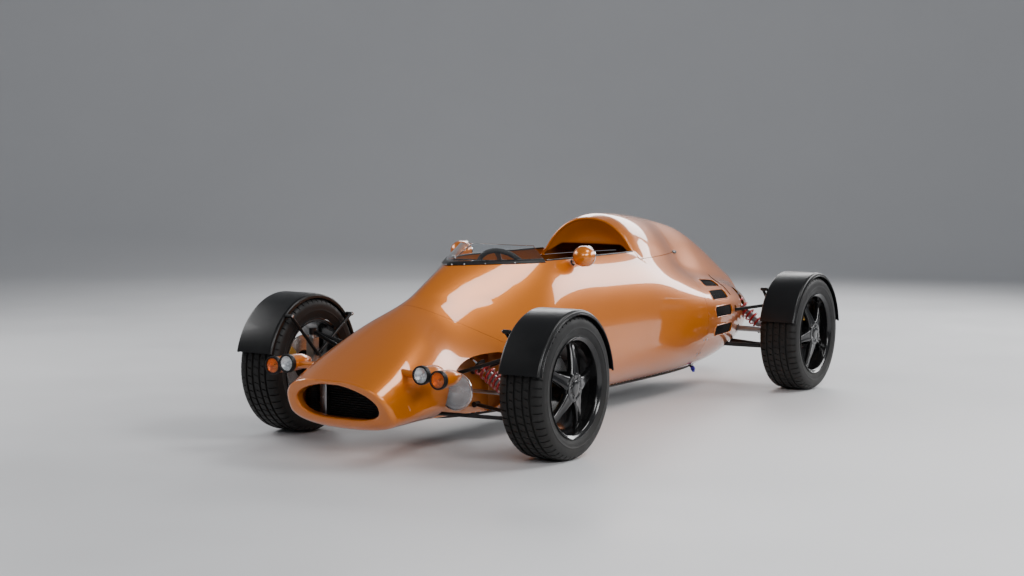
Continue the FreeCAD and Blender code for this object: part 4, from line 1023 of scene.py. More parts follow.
def ventOutline(angle, grown=0.0):
    form = panelForm
    half, rise = form["ventLength"] / 2 - form["ventCorner"], form["ventHeight"] / 2 - form["ventCorner"]
    out, up, middle = ventAxes(angle)
    outline = []
    corners = ((half, rise, 0), (-half, rise, 90), (-half, -rise, 180), (half, -rise, 270))
    for cornerX, cornerZ, start in corners:
        for x, z in arcPoints(cornerX, cornerZ, form["ventCorner"] + grown, start, start + 90, 6):
            outline.append(middle + out * 0.16 + up * z + Vector((x, 0, 0)))
    return outline


def tailHoles():
    # clearances round the rear links, the dampers, the shafts, the lamps and the pipe
    holes = []
    for start, end, radius in tailRods:
        holes += bothSides([tubePart([start, end], radius, "none", 28)])
    return holes + [tubePart(pipeRod[:2], pipeRod[2], "none", 28)]


def shrunk(ring, x, share):
    belt = beltAt(bodyForm["tailEndX"])
    return [Vector((x, p.y * share, belt + (p.z - belt) * share)) for p in ring]


def makeTail():
    shut, end = bodyForm["tailShutX"], bodyForm["tailEndX"]
    wall, edge = bodyForm["wall"], panelForm["tailRound"]
    rings = [bodyRing(x) for x in alongStations(shut, end + edge)]
    for k in range(1, 6):
        turn = pi / 2 * k / 5
        back = Vector((edge * sin(turn), 0, 0))
        rings.append([p - back for p in bodyRing(end + edge, edge * (1 - cos(turn)))])
    inner = [bodyRing(x, wall) for x in alongStations(shut, end + wall)]
    rings += [shrunk(rings[-1], end, share) for share in (0.6, 0.2)]
    core = [shrunk(inner[-1], inner[-1][0].x, share) for share in (0.2, 0.6)]
    piece = makePiece("bodyTail", [loftPart(core + inner[::-1] + rings, "pearlPaint")], None)
    cuts = [openBox(-3, 0, -0.1, panelForm["floor"])]
    for angle in panelForm["ventAngles"]:
        cuts += bothSides([prismPart(ventOutline(angle), ventAxes(angle)[0] * 0.4)])
    cutPiece(piece, cuts + tailHoles())
    endPanel(piece, "tail_panel")


makeNose()
makeMainBody()
makeHeadrest()
makeTail()
print("body panels made")

# wheels

wheelForm = {
    "sideY": 0.641, "frontX": 1.119, "rearX": -1.341, "height": 0.288,
    # the tread's pitches, each with these steps, and its four grooves
    "pitches": 54, "cuts": (0.0, 0.03, 0.16, 0.19, 0.50, 0.53, 0.66, 0.69), "slant": 1.12, "slantReach": 0.056,
    "grooves": (-0.050, -0.018, 0.018, 0.050), "grooveWidth": 0.009, "grooveDepth": 0.007,
    # outline of half the crown: distance from the middle and radius
    "tyre": mm(0, 288, 62, 286.8, 78, 283.8, 88.5, 277.5, 95, 268),
    # sidewall from the tread's edge over the bead, then the inner side
    "wall": mm(97.2, 262, 98.5, 256, 99.8, 244, 99.6, 238, 100, 237.2, 100, 235.2, 99.4, 234.5, 98.5, 227,
               96.6, 219, 94.2, 212, 91.8, 206.2, 92.5, 205.2, 92.5, 203.6, 90.5, 202.2, 87, 201, 83, 199,
               80, 196, 78, 191.5),
    "inside": mm(76, 192.5, 80, 201, 86, 215, 88.5, 235, 87, 255, 80, 268, 60, 275),
    "crown": 0.2765, "spokes": 5, "firstSpoke": 25.0, "rearTurn": 34,
}
# sipes of the tread: from and to beside the middle, depth, and the step at which they open
sipes = ((0.0590, 0.0920, 0.0055, 1), (0.0240, 0.0440, 0.0045, 5), (-1.0, 0.0125, 0.0035, 1))


def tyreRadius(across):
    rows = wheelForm["tyre"]
    for (near, top), (far, low) in zip(rows, rows[1:]):
        if abs(across) <= far:
            break
    return top + (low - top) * (abs(across) - near) / (far - near)


def sipeDepth(y, step):
    if any(abs(y - groove) < wheelForm["grooveWidth"] / 2 for groove in wheelForm["grooves"]):
        return wheelForm["grooveDepth"]
    for low, high, depth, first in sipes:
        if low < abs(y) < high and first <= step <= first + 1:
            return depth * min((abs(y) - low) / 0.004, 1)
    return 0.0


def stepAngles():
    # each step's number in its pitch and its angle round the tyre
    cuts, pitches = wheelForm["cuts"], wheelForm["pitches"]
    return [(step, 2 * pi * (pitch + cut) / pitches)
            for pitch in range(pitches) for step, cut in enumerate(cuts)]


def wheelPoint(radius, y, angle):
    return Vector((radius * sin(angle), y, radius * cos(angle)))


def treadPart():
    # crown and shoulders as a grid: four grooves round it, slanted sipes in the ribs, cuts in the shoulders
    half, reach = wheelForm["grooveWidth"] / 2, wheelForm["slantReach"]
    places = [0.006, 0.029, 0.040, 0.0620, 0.0700, 0.0775, 0.084, 0.0905, 0.0945]
    places += [-y for y in places]
    for groove in wheelForm["grooves"]:
        places += [groove + edge for edge in (-half - 0.0012, -half + 0.0006, half - 0.0006, half + 0.0012)]
    places.sort()
    points = []
    for step, angle in stepAngles():
        for y in places:
            slant = min(max(y, -reach), reach) * wheelForm["slant"]
            points.append(wheelPoint(tyreRadius(y) - sipeDepth(y, step), y, angle + slant))
    return points, gridFaces(len(points) // len(places), len(places), True, False), "rubber"


def sidePart():
    # sidewalls, beads and the inner side, as one band that meets the tread's edges
    outer = [(0.0945, tyreRadius(0.0945))] + wheelForm["wall"] + wheelForm["inside"]
    profile = outer + [(0.0, wheelForm["crown"])] + [(-y, radius) for y, radius in reversed(outer)]
    points = []
    for step, angle in stepAngles():
        for y, radius in profile:
            fade = min(max((radius - 0.24) / 0.02, 0), 1) if abs(y) > 0.09 else 0
            slant = copysign(wheelForm["slantReach"], y) * wheelForm["slant"] * fade
            points.append(wheelPoint(radius, y, angle + slant))
    return points, gridFaces(len(points) // len(profile), len(profile), True, False), "rubber"


def eachWheel():
    # both ends of the car and both sides: names, sign of Y and the place of the wheel's centre
    for name in ("front", "rear"):
        for end, sign in (("Left", 1), ("Right", -1)):
            place = (wheelForm[name + "X"], sign * wheelForm["sideY"], wheelForm["height"])
            yield name, end, sign, Matrix.Translation(place)


def spokePart(angle):
    # one spoke: wide at the hub, waisted, then flaring to the barrel, with a raised crown
    stations = [(0.022, 0.034, 0.0900, 0.030), (0.050, 0.0300, 0.0880, 0.028), (0.075, 0.0250, 0.0840, 0.024),
                (0.100, 0.0215, 0.0785, 0.022), (0.125, 0.0195, 0.0720, 0.020), (0.150, 0.0190, 0.0655, 0.019),
                (0.170, 0.0205, 0.0600, 0.019), (0.182, 0.0250, 0.0560, 0.020), (0.1885, 0.032, 0.0530, 0.022)]
    rings = []
    for radius, half, face, deep in stations:
        side = [(0.45, -0.0012), (0.72, 0.0), (0.90, -0.0018), (1.0, -0.0052), (1.04, -deep * 0.6),
                (1.0, -deep)]
        rows = [(-across, drop) for across, drop in side[::-1]] + [(0.0, -0.0020)] + side
        rows.append((0.0, -deep * 1.05))
        rings.append([Vector((across * half, face + drop, radius)) for across, drop in rows])
    return movedParts([loftPart(rings, "rimBlack")], Matrix.Rotation(radians(angle), 4, "Y"))


def rimParts():
    lip = mm(95, 199, 96.2, 200.2, 95.8, 201.6, 94, 202, 90.5, 200.8, 88, 197.5, 86, 192.5, 80, 190.6,
             30, 189.8, 0, 185, -30, 189.8, -80, 190.6, -86, 192.5, -88, 197.5, -90.5, 200.8, -94, 202,
             -95, 200, -94, 196.5, -91, 190, -86, 185.2, -30, 184.6, 0, 180, 20, 183.5, 44, 183.6,
             48, 182.8, 52, 183.6, 70, 184.2, 83, 185, 86.8, 186.8, 89, 190, 91, 194)
    hub = mm(14, 0, 14, 58, 17, 62, 70, 62, 83, 60, 88, 56, 89.5, 50, 88, 40, 86, 34, 87, 30.5, 90.5, 29,
             91.8, 26.5, 92.5, 15, 93, 0)
    well = mm(60, 0, 60, 14.5, 88.5, 15, 89.5, 13.2, 70, 11.8, 70, 0)
    cone = mm(70, 0, 70, 9.6, 85, 9.2, 87.2, 7.4, 88, 0)
    valve = mm(0, 0, 0, 4.5, 4, 4.5, 5, 3.2, 20, 3, 21, 4.2, 30, 4.2, 31, 3, 31.5, 0)
    axle = (0, 1, 0)
    parts = turnedParts((0, 0, 0), axle, ("rimBlack", 96, lip, True), ("rimBlack", 64, hub))
    pitch = 360 / wheelForm["spokes"]
    for k in range(wheelForm["spokes"]):
        angle = 90 - wheelForm["firstSpoke"] - pitch * k
        parts += spokePart(angle)
        parts += turnedParts(wheelPoint(0.045, 0.0, radians(angle + pitch / 2)), axle,
                             ("rimBlack", 24, well), ("screwSteel", 6, cone))
    return parts + turnedParts(wheelPoint(0.172, 0.052, radians(40)), axle, ("trimBlack", 12, valve))


def discParts():
    # vented disc on a hat
    face = mm(-17.8, 60, -17.8, 72, -17.5, 123.5, -18.2, 125, -25.5, 125, -26.2, 123.5, -26.2, 60)
    hat = mm(-26.2, 60.5, -17.8, 60.5, 11, 57.5, 13.8, 54.5, 13.8, 18, 10, 18, 10, 52, -26.2, 56)
    return turnedParts((0, 0, 0), (0, 1, 0), ("turnedDisc", 96, face, True), ("trimBlack", 64, hat, True))


def makeWheels():
    # the shared forms face +Y; the right side has the mirror images of rims and discs, but the same tyres
    kinds = (("Tyre", [treadPart(), sidePart()], "tyre", 40), ("Rim", rimParts(), "rim_black", 35),
             ("Disc", discParts(), "disc_steel", 30))
    turn = Matrix.Rotation(radians(wheelForm["rearTurn"]), 4, "Y")
    for title, parts, slot, sharp in kinds:
        for name, end, sign, place in eachWheel():
            shaped = parts if sign > 0 or title == "Tyre" else mirrorParts(parts)
            matrix = place @ turn if title == "Rim" and name == "rear" else place
            piece = makePiece(name + title + end, movedParts(shaped, matrix), name + "_wheel_" + end.lower(),
                              (name + "_" + title.lower() + "_" + end.lower(),), sharp, title == "Tyre")
            if title == "Disc":
                layer = piece.data.attributes.new("ringRadius", "FLOAT", "POINT")
                spots = [place.inverted() @ v.co for v in piece.data.vertices]
                layer.data.foreach_set("value", [hypot(p.x, p.z) for p in spots])


makeWheels()
print("wheels made")

# mudguards

guardForm = {
    "radius": 0.308, "outer": 0.098, "inner": 0.090, "front": 14.0, "rear": 172.0, "steps": 96,
    "shoulder": 0.013, "bead": 0.005, "wall": 0.003, "skirt": 0.016,
    "stayAngles": (49.0, 137.0), "stayPlane": 0.1155, "stayReach": 0.300, "stay": 0.007, "ball": 0.009,
    "rootZ": 0.337, "frontRootY": 0.5367, "rearRootY": 0.5197,
}


def guardProfile():
    # outer surface from the outer bead over the crown to the inner skirt, then back along the inside
    far, near, top = guardForm["outer"], -guardForm["inner"], guardForm["radius"]
    roll, bead, wall = guardForm["shoulder"], guardForm["bead"], guardForm["wall"]
    skirt = top - guardForm["skirt"]
    rows = [(far + bead - 0.0012, skirt - bead), (far + bead, skirt - bead + 0.0012),
            (far + bead, skirt - 0.0012),
            (far + bead - 0.0012, skirt), (far + 0.0008, skirt), (far, skirt + 0.0008)]
    rows += arcPoints(far - roll, top - roll, roll, 0, 90, 8)
    rows.append((0.0, top))
    rows += arcPoints(near + roll, top - roll, roll, 90, 180, 8)
    rows += [(near, skirt - bead + 0.001), (near + 0.001, skirt - bead), (near + wall - 0.001, skirt - bead),
             (near + wall, skirt - bead + 0.001)]
    rows += arcPoints(near + roll, top - roll, roll - wall, 180, 90, 8)
    rows.append((0.0, top - wall))
    rows += arcPoints(far - roll, top - roll, roll - wall, 90, 0, 8)
    return rows + [(far - wall, skirt - bead)]


def guardParts(rootY):
    # about the wheel's centre, outward along +Y
    form = guardForm
    low, high = radians(form["front"]), radians(form["rear"])
    rings = []
    for k in range(form["steps"] + 1):
        angle = low + (high - low) * k / form["steps"]
        rings.append([Vector((r * cos(angle), y, r * sin(angle))) for y, r in guardProfile()])
    root = Vector((0, rootY - wheelForm["sideY"], form["rootZ"] - wheelForm["height"]))
    ball = arcPoints(0, 0, form["ball"], 180, 0, 12)
    lug = mm(-9, 0, -9, 6.5, -7.5, 8.5, 23, 8.5, 24.5, 7.2, 24.5, 0)
    washer = mm(-10.5, 0, -10.5, 6.2, -9.5, 6.8, -8.8, 6.8, -8.8, 0)
    head = mm(-13.8, 0, -13.8, 3.8, -12.8, 4.5, -10, 4.5, -10, 0)
    parts = [loftPart(rings, "guardBlack")] + turnedParts(root, (0, 1, 0), ("blackTube", 24, ball))
    for degrees in form["stayAngles"]:
        top = wheelPoint(form["stayReach"], -form["stayPlane"], radians(90 - degrees))
        parts.append(tubePart([root, root + (top - root) * 0.5, top], form["stay"], "blackTube", 16))
        parts += turnedParts(top, (0, 1, 0), ("blackTube", 24, lug), ("screwSteel", 24, washer),
                             ("screwSteel", 6, head))
    return parts


def makeCornerPieces(title, node, parts, rearName):
    # the front pair steers and is two pieces; the rear pair stays on the chassis as one piece
    placed = {}
    for name in ("front", "rear"):
        place = (wheelForm[name + "X"], wheelForm["sideY"], wheelForm["height"])
        placed[name] = movedParts(parts[name], Matrix.Translation(place))
    for end, shaped in (("Left", placed["front"]), ("Right", mirrorParts(placed["front"]))):
        side = "_" + end.lower()
        makePiece("front" + title + end, shaped, "front_knuckle" + side, ("front_" + node + side,), 30)
    makePiece(rearName, bothSides(placed["rear"]), "chassis", ("rear_" + node + "s",), 30)


# springs and dampers

damperForm = {
    # lower end, upper end, and the share of the length where the spring starts and that it takes
    "front": ((1.0674, 0.430, 0.215), (1.0674, 0.1733, 0.385), 0.10, 0.58),
    "rear": ((-1.445, 0.425, 0.2543), (-1.455, 0.1923, 0.470), 0.14, 0.68),
    "springRadius": 0.029, "wire": 0.0055, "turns": 7, "body": 0.017, "thread": 0.0024,
}


def coilPart(low, high, startShare, lengthShare):
    line = high - low
    ahead = line.normalized()
    side = Vector((1, 0, 0))
    side = (side - ahead * side.dot(ahead)).normalized()
    turns = damperForm["turns"]
    path = []
    for k in range(turns * 30 + 1):
        share = k / (turns * 30)
        # the end turns close up and lie flat
        rise = share + 0.035 * sin(2 * pi * share)
        path.append(low + line * (startShare + lengthShare * rise)
                    + turned(side, ahead.cross(side), turns * share) * damperForm["springRadius"])
    return tubePart(path, damperForm["wire"], "springRed", 12)


def damperParts(low, high, startShare, lengthShare):
    # the body with a threaded run and its spring seat at the lower end, the rod, the upper seat and both eyes
    ahead = (high - low).normalized()
    length = (high - low).length
    body, seat, wide = length * 0.55, length * startShare, damperForm["body"]
    rows = [(0.010, 0.0), (0.010, 0.010), (0.020, 0.013), (0.026, wide), (seat, wide), (seat + 0.0005, wide)]
    along = seat + 0.001
    while along < body - 0.012:
        rows += [(along, wide), (along + damperForm["thread"] * 0.5, wide - 0.0009)]
        along += damperForm["thread"]
    rows += [(body - 0.010, wide), (body - 0.002, 0.0165), (body, 0.0150), (body, 0.0)]
    rod = [(body - 0.004, 0.0), (body - 0.004, 0.007), (length - 0.012, 0.007), (length - 0.010, 0.0)]
    under = [(seat - 0.0075, 0.0165), (seat - 0.0075, 0.030), (seat - 0.0062, 0.0335), (seat - 0.0035, 0.0335),
             (seat - 0.0022, 0.0305), (seat - 0.0010, 0.0165)]
    top = seat + length * lengthShare + 0.0055
    over = [(top + 0.0006, 0.0065), (top + 0.0006, 0.0300), (top + 0.0018, 0.0335), (top + 0.0045, 0.0335),
            (top + 0.0070, 0.0280), (top + 0.0150, 0.0120), (top + 0.0150, 0.0065)]
    parts = turnedParts(low, ahead, ("castAlloy", 32, rows), ("chrome", 20, rod),
                        ("blackTube", 36, under, True),
                        ("blackTube", 36, over, True))
    eye = mm(-12, 0, -12, 10.5, -10.5, 13, 10.5, 13, 12, 10.5, 12, 0)
    head = mm(12.2, 0, 12.2, 6.8, 16, 6.2, 16.6, 5, 16.6, 0)
    for end in (low, high):
        parts += turnedParts(end, (1, 0, 0), ("greySteel", 28, eye), ("screwSteel", 6, head))
        parts += turnedParts(end, (-1, 0, 0), ("screwSteel", 6, head))
    return parts


def makeDampers():
    coils, bodies = [], []
    for low, high, start, length in (damperForm["front"], damperForm["rear"]):
        coils.append(coilPart(Vector(low), Vector(high), start, length))
        bodies += damperParts(Vector(low), Vector(high), start, length)
    makePiece("coilSprings", bothSides(coils), "chassis", ("coil_springs",), 40)
    makePiece("damperBodies", bothSides(bodies), "chassis", ("dampers",), 32)


# calipers

caliperForm = {
    "middle": 22.0, "spread": 19.5, "bolts": (0.126, 0.774), "pistons": (0.108, 0.42),
    # inner and outer radius, from and to along the axle, share of the spread, and the edges' bevel
    "blocks": ((0.086, 0.1335, -0.0125, -0.0005, 1.0, 0.003), (0.086, 0.1335, -0.0435, -0.0315, 1.0, 0.003),
               (0.1295, 0.1378, -0.0425, -0.0015, 0.55, 0.0022)),
}


def caliperBlock(ahead, innerRadius, outerRadius, low, high, spread, bevel):
    rings = []
    for k in range(15):
        share = -1 + k / 7
        angle = radians(caliperForm["middle"] + caliperForm["spread"] * spread * share)
        ease = bevel * max(abs(share) - 0.86, 0) / 0.14
        near, far, lowY, highY = innerRadius + ease, outerRadius - ease, low + ease * 0.6, high - ease * 0.6
        outline = ((near + bevel, lowY), (near, lowY + bevel), (near, highY - bevel), (near + bevel, highY),
                   (far - bevel, highY), (far, highY - bevel), (far, lowY + bevel), (far - bevel, lowY))
        rings.append([Vector((ahead * r * cos(angle), y, r * sin(angle))) for r, y in outline])
    return loftPart(rings, "caliperGold")


def caliperParts(ahead):
    # about the wheel's centre, outward along +Y: two eased halves, a bridge with bolts, and the piston caps
    form = caliperForm
    parts = [caliperBlock(ahead, *row) for row in form["blocks"]]
    head = mm(-1, 0, -1, 5.5, 1.2, 5.5, 2, 4.6, 2, 0)
    cap = mm(-1, 0, -1, 16.5, 0.6, 16.5, 1.4, 15, 1, 12, 1, 0)
    for (reach, share), look, steps, profile in ((form["bolts"], "screwSteel", 6, head),
                                                 (form["pistons"], "caliperGold", 32, cap)):
        for sign in (-1, 1):
            angle = radians(form["middle"] + form["spread"] * share * sign)
            place = (ahead * reach * cos(angle), 0, reach * sin(angle))
            parts += turnedParts(place, (0, 1, 0), (look, steps, profile))
    return parts


makeCornerPieces("Guard", "mudguard", {"front": guardParts(guardForm["frontRootY"]),
                                       "rear": guardParts(guardForm["rearRootY"])}, "rearGuards")
makeDampers()
makeCornerPieces("Caliper", "caliper", {"front": caliperParts(1), "rear": caliperParts(-1)},
                 "rearCaliperPair")
print("mudguards, springs and calipers made")

# lamps

lampForm = {
    "head": panelForm["lamp"], "headRadius": 0.074, "clear": (1.593, 0.324, 0.359),
    "amber": (1.588, 0.399, 0.345), "lens": 0.030, "armX": 1.554, "rear": (-1.743, 0.062, 0.372),
    "rearRadius": 0.027, "bracketBack": 0.039,
    "bracketY": 0.160, "flute": 0.0118, "fluteDepth": 0.0009, "dome": 0.0162,
}
forward = (1, 0, 0)


def podParts(place):
    # bullet shell with a dark ring, a faceted reflector and a bulb cover
    shell = mm(-150, 0, -149.5, 5, -147, 9.5, -140, 14.5, -125, 20.5, -105, 27, -85, 31.8, -68, 33.7,
               -50, 34, -4, 34, -1, 33.6, 0, 32.6, 0, 30.5, -3, 30.2, -12, 30.2, -13, 0)
    ring = mm(-2, 30.4, 8, 30.4, 9.4, 31.4, 9.8, 33.6, 9, 36.2, 6, 37.4, -10, 37.4, -13, 36.2, -14, 33.8)
    bowl = mm(-12, 0, -12, 6, -9.5, 15, -5, 23, 0, 28.5, 0.5, 29.8, -2, 30, -12.5, 30, -12.7, 0)
    bulb = mm(-11, 0, -11, 6.2, -4, 6, -1, 4.5, 0, 0)
    return turnedParts(place, forward, ("pearlPaint", 48, shell), ("trimBlack", 48, ring, True),
                       ("lampSilver", 20, bowl), ("chrome", 20, bulb))


def flutedLens(place, radius):
    # domed headlamp glass with upright flutes that fade out at its rim; it starts and ends in single points
    rings, steps = 26, 128
    points = []
    for k in range(1, rings + 1):
        r = radius * sin(pi / 2 * k / rings)
        fade = min((1 - k / rings) / 0.18, 1)
        x = 0.0010 + lampForm["dome"] * sqrt(max(1 - (r / radius) ** 2, 0)) ** 1.4
        for j in range(steps):
            turn = 2 * pi * j / steps
            y, z = r * cos(turn), r * sin(turn)
            flute = lampForm["fluteDepth"] * fade * cos(2 * pi * y / lampForm["flute"])
            points.append(place + Vector((x + flute, y, z)))
    base, last = len(points), (rings - 1) * steps
    points.append(place + Vector((0.0010 + lampForm["dome"] + lampForm["fluteDepth"], 0, 0)))
    points.append(place + Vector((0.0002, 0, 0)))
    faces = gridFaces(rings, steps)
    faces += [(base, (j + 1) % steps, j) for j in range(steps)]
    faces += [(base + 1, last + j, last + (j + 1) % steps) for j in range(steps)]
    return points, faces, "lensHead"


def lensPart(place, look):
    # a domed lens; its inner side carries prism rows
    radius, depth, dome, steps = lampForm["lens"], 0.0116, 0.0060, 14
    profile = [(0.0005, 0.0)]
    for k in range(1, steps + 1):
        ripple = 0.0008 * (k % 2) if k < steps else 0.0
        profile.append((0.0012 + ripple, radius * 0.985 * k / steps))
    profile += [(depth - dome, radius), (depth - dome + 0.0006, radius - 0.0003)]
    for k in range(10, -1, -1):
        r = (radius - 0.0006) * k / 10
        profile.append((depth - dome * (r / radius) ** 2, r))
    return lathePart(profile, Vector(place) + Vector((0.0004, 0, 0)), forward, look, 48)


def armPart():
    # one arm carries both pods and ends at the body's skin
    start = Vector((lampForm["armX"], lampForm["clear"][1] / 2, lampForm["clear"][2]))
    end = Vector((lampForm["armX"], *lampForm["amber"][1:]))
    radii = [0.0150, 0.0150, 0.0150, 0.0148, 0.0145, 0.0142, 0.0140, 0.0140, 0.0138, 0.0130, 0.0120]
    path = [start.lerp(end, k / 10) for k in range(11)]
    arm = makePiece("podArm", [tubePart(path, radii, "none", 24)], None)
    cutPiece(arm, [loftPart([bodyRing(x, -0.0003) for x in alongStations(1.36, 1.66, 0.02)], "none")])
    points = [v.co.copy() for v in arm.data.vertices]
    faces = [tuple(face.vertices) for face in arm.data.polygons]
    dropPiece(arm)
    return points, faces, "pearlPaint"


def makeLampPods():
    parts = podParts(lampForm["clear"]) + podParts(lampForm["amber"]) + [armPart()]
    makePiece("lampPods", bothSides(parts), "chassis", ("lamp_pods",), 32)
    for name in ("clear", "amber"):
        lens = lensPart(lampForm[name], "lens" + name.title())
        makePiece(name + "Lenses", bothSides([lens]), "chassis", (name + "_lenses",), 30)


def makeHeadlamps():
    place = Vector(lampForm["head"])
    bowl = mm(-69, 0, -68.5, 12, -64, 26, -55, 40, -40, 52.5, -24, 59.5, -9.5, 62, -9, 70, -8.5, 73,
              -6, 74, -1.5, 74, 0, 73.2, 0, 70.2, -3, 69.4, -6, 69, -12, 58, -26, 54, -41, 44, -54, 30,
              -61, 15, -62.5, 0)
    bulb = mm(-62, 0, -62, 8.5, -40, 8.5, -36, 6, -30, 5.5, -28, 0)
    shield = mm(-25, 0, -25, 13, -27, 15, -35, 15, -35.5, 13.5, -26.5, 12, -26.2, 0)
    bezel = mm(-5, 74.2, -4, 76.4, 1, 77.6, 4, 77.2, 5.6, 75.6, 5, 73.8, 1, 74.2)
    clamp = mm(-16.5, 60.2, -16.5, 65, -15, 66.2, -11, 66.2, -9.8, 65, -9.8, 60.2)
    flange = mm(0.5, 0, 0.5, 21.5, 2, 23, 6, 23, 8.5, 15, 8.5, 0)
    parts = turnedParts(place, forward, ("lampSilver", 64, bowl), ("greySteel", 20, bulb),
                        ("chrome", 28, shield),
                        ("chrome", 64, bezel, True), ("trimBlack", 64, clamp, True))
    # bracket to the tub
    end = place - Vector((lampForm["bracketBack"], 0, 0))
    foot = Vector((end.x, lampForm["bracketY"], end.z))
    parts.append(tubePart([foot, foot.lerp(end, 0.5), end], 0.014, "blackTube", 24))
    parts += turnedParts(foot, (0, 1, 0), ("blackTube", 32, flange))
    makePiece("headlampBowls", bothSides(parts), "chassis", ("headlamps",), 32)
    lens = facingOut(flutedLens(place, lampForm["headRadius"]))
    makePiece("headlampLenses", bothSides([lens]), "chassis", ("headlamp_lenses",), 30)


def makeRearLamps():
    radius = lampForm["rearRadius"]
    lens = [(0.0, 0.0), (0.0, radius + 0.0008), (-0.0120, radius + 0.0008)]
    for k in range(8, -1, -1):
        lens.append((-0.0156 + 0.0030 * (k / 8) ** 2 - 0.0004 * (k % 2), radius * k / 8))
    parts = bothSides(turnedParts(lampForm["rear"], forward, ("lensRed", 40, lens)))
    makePiece("rearLamps", parts, "chassis", ("rear_lamps",), 30)


makeLampPods()
makeHeadlamps()
makeRearLamps()
print("lamps made")

# cockpit

cockpitForm = {
    "wheel": (0.469, 0.0, 0.655), "columnLow": (0.999, 0.0, 0.330), "ring": 0.135, "grip": 0.012,
    "screenFront": 0.820, "screenBack": 0.534, "screenLow": 0.744, "screenHighFront": 0.816,
    "screenHighBack": 0.799,
    "sealHeight": 0.728, "edgeHeight": 0.735, "edgeBack": -0.268,
    "dashX": 0.626, "dashLow": 0.560, "dashHigh": 0.7345, "dashInset": 0.0056, "dashHalf": 0.003,
    # across, height and radius of the dials
    "dials": ((0.0, 0.706, 0.024), (0.086, 0.690, 0.034), (-0.086, 0.690, 0.034), (0.165, 0.690, 0.022),
              (-0.165, 0.690, 0.022)),
}


def rimLine(level, startX, endX, count, inset=0.0, lift=0.0):
    # the line where the body reaches this height, from the right side's back end round the front to the left
    height = level if callable(level) else lambda x: level
    front = lastInside(startX, startX + 0.8,
                       lambda x: beltAt(x) + bodyRadius(x, pi / 2, False) - inset > height(x))
    points = []
    for k in range(count + 1):
        x = min(endX + (front - endX) * (1 - (1 - k / count) ** 2.4), front)
        points.append(skinPlace(x, height(x), inset) + Vector((0, 0, lift)))
    points[-1].y = 0.0
    return [mirrored(p) for p in points] + points[-2::-1]


def bandPart(low, high, thickness, look, edge=0.3):
    # a thin standing band between two lines of the same count, rounded at its top
    rings = []
    for k, (a, b) in enumerate(zip(low, high)):
        up = b - a
        out = (low[min(k + 1, len(low) - 1)] - low[max(k - 1, 0)]).cross(up).normalized() * (thickness / 2)
        under = b - up.normalized() * thickness * edge
        middle = a + up * 0.5
        rings.append([a - out, a + out, middle + out, under + out, b + out * 0.5, b - out * 0.5, under - out,
                      middle - out])
    return loftPart(rings, look)


def makeScreen():
    form = cockpitForm
    back = form["screenBack"]
    rise = (form["screenHighFront"] - form["screenHighBack"]) / (form["screenFront"] - back)
    low = rimLine(form["screenLow"], 0.9, back, 46, 0.002, 0.0003)
    high = rimLine(lambda x: min(form["screenHighBack"] + rise * (x - back), form["screenHighFront"]),
                   0.62, back, 46, 0.002)
    glass = bandPart(low, high, 0.0036, "screenClear")
    makePiece("windscreenGlass", [glass], "chassis", ("windscreen",), 20)
    seal = rimLine(form["sealHeight"], 0.9, back, 46, -0.0008)
    parts = [bandPart(seal, [Vector((p.x, p.y, 0.7439)) for p in low], 0.0060, "trimBlack", 0.5)]
    head = mm(2, 0, 2, 3.2, 3.6, 2.6, 4.2, 1.2, 4.2, 0)
    for k in range(3, len(seal) - 3, 9):
        ahead = seal[k + 1] - seal[k - 1]
        out = Vector((ahead.y, -ahead.x, 0)).normalized()
        out = out if out.dot(Vector((seal[k].x - 0.7, seal[k].y, 0))) > 0 else -out
        parts += turnedParts(seal[k] + Vector((0, 0, 0.0042)), out, ("screwSteel", 12, head))
    makePiece("windscreenSeal", parts, "chassis", ("windscreen_seal",), 40)


def makeEdgeTrim():
    # a rubber bead on the rim of the cockpit opening behind the screen
    line = rimLine(cockpitForm["edgeHeight"], 0.9, cockpitForm["edgeBack"], 90, 0.0025, 0.0012)
    path = [p for p in line if p.y > 0.02 and p.x < cockpitForm["screenBack"] - 0.004]
    makePiece("cockpitEdge", bothSides([tubePart(path, 0.0042, "trimBlack", 12)]), "chassis", (), 40)


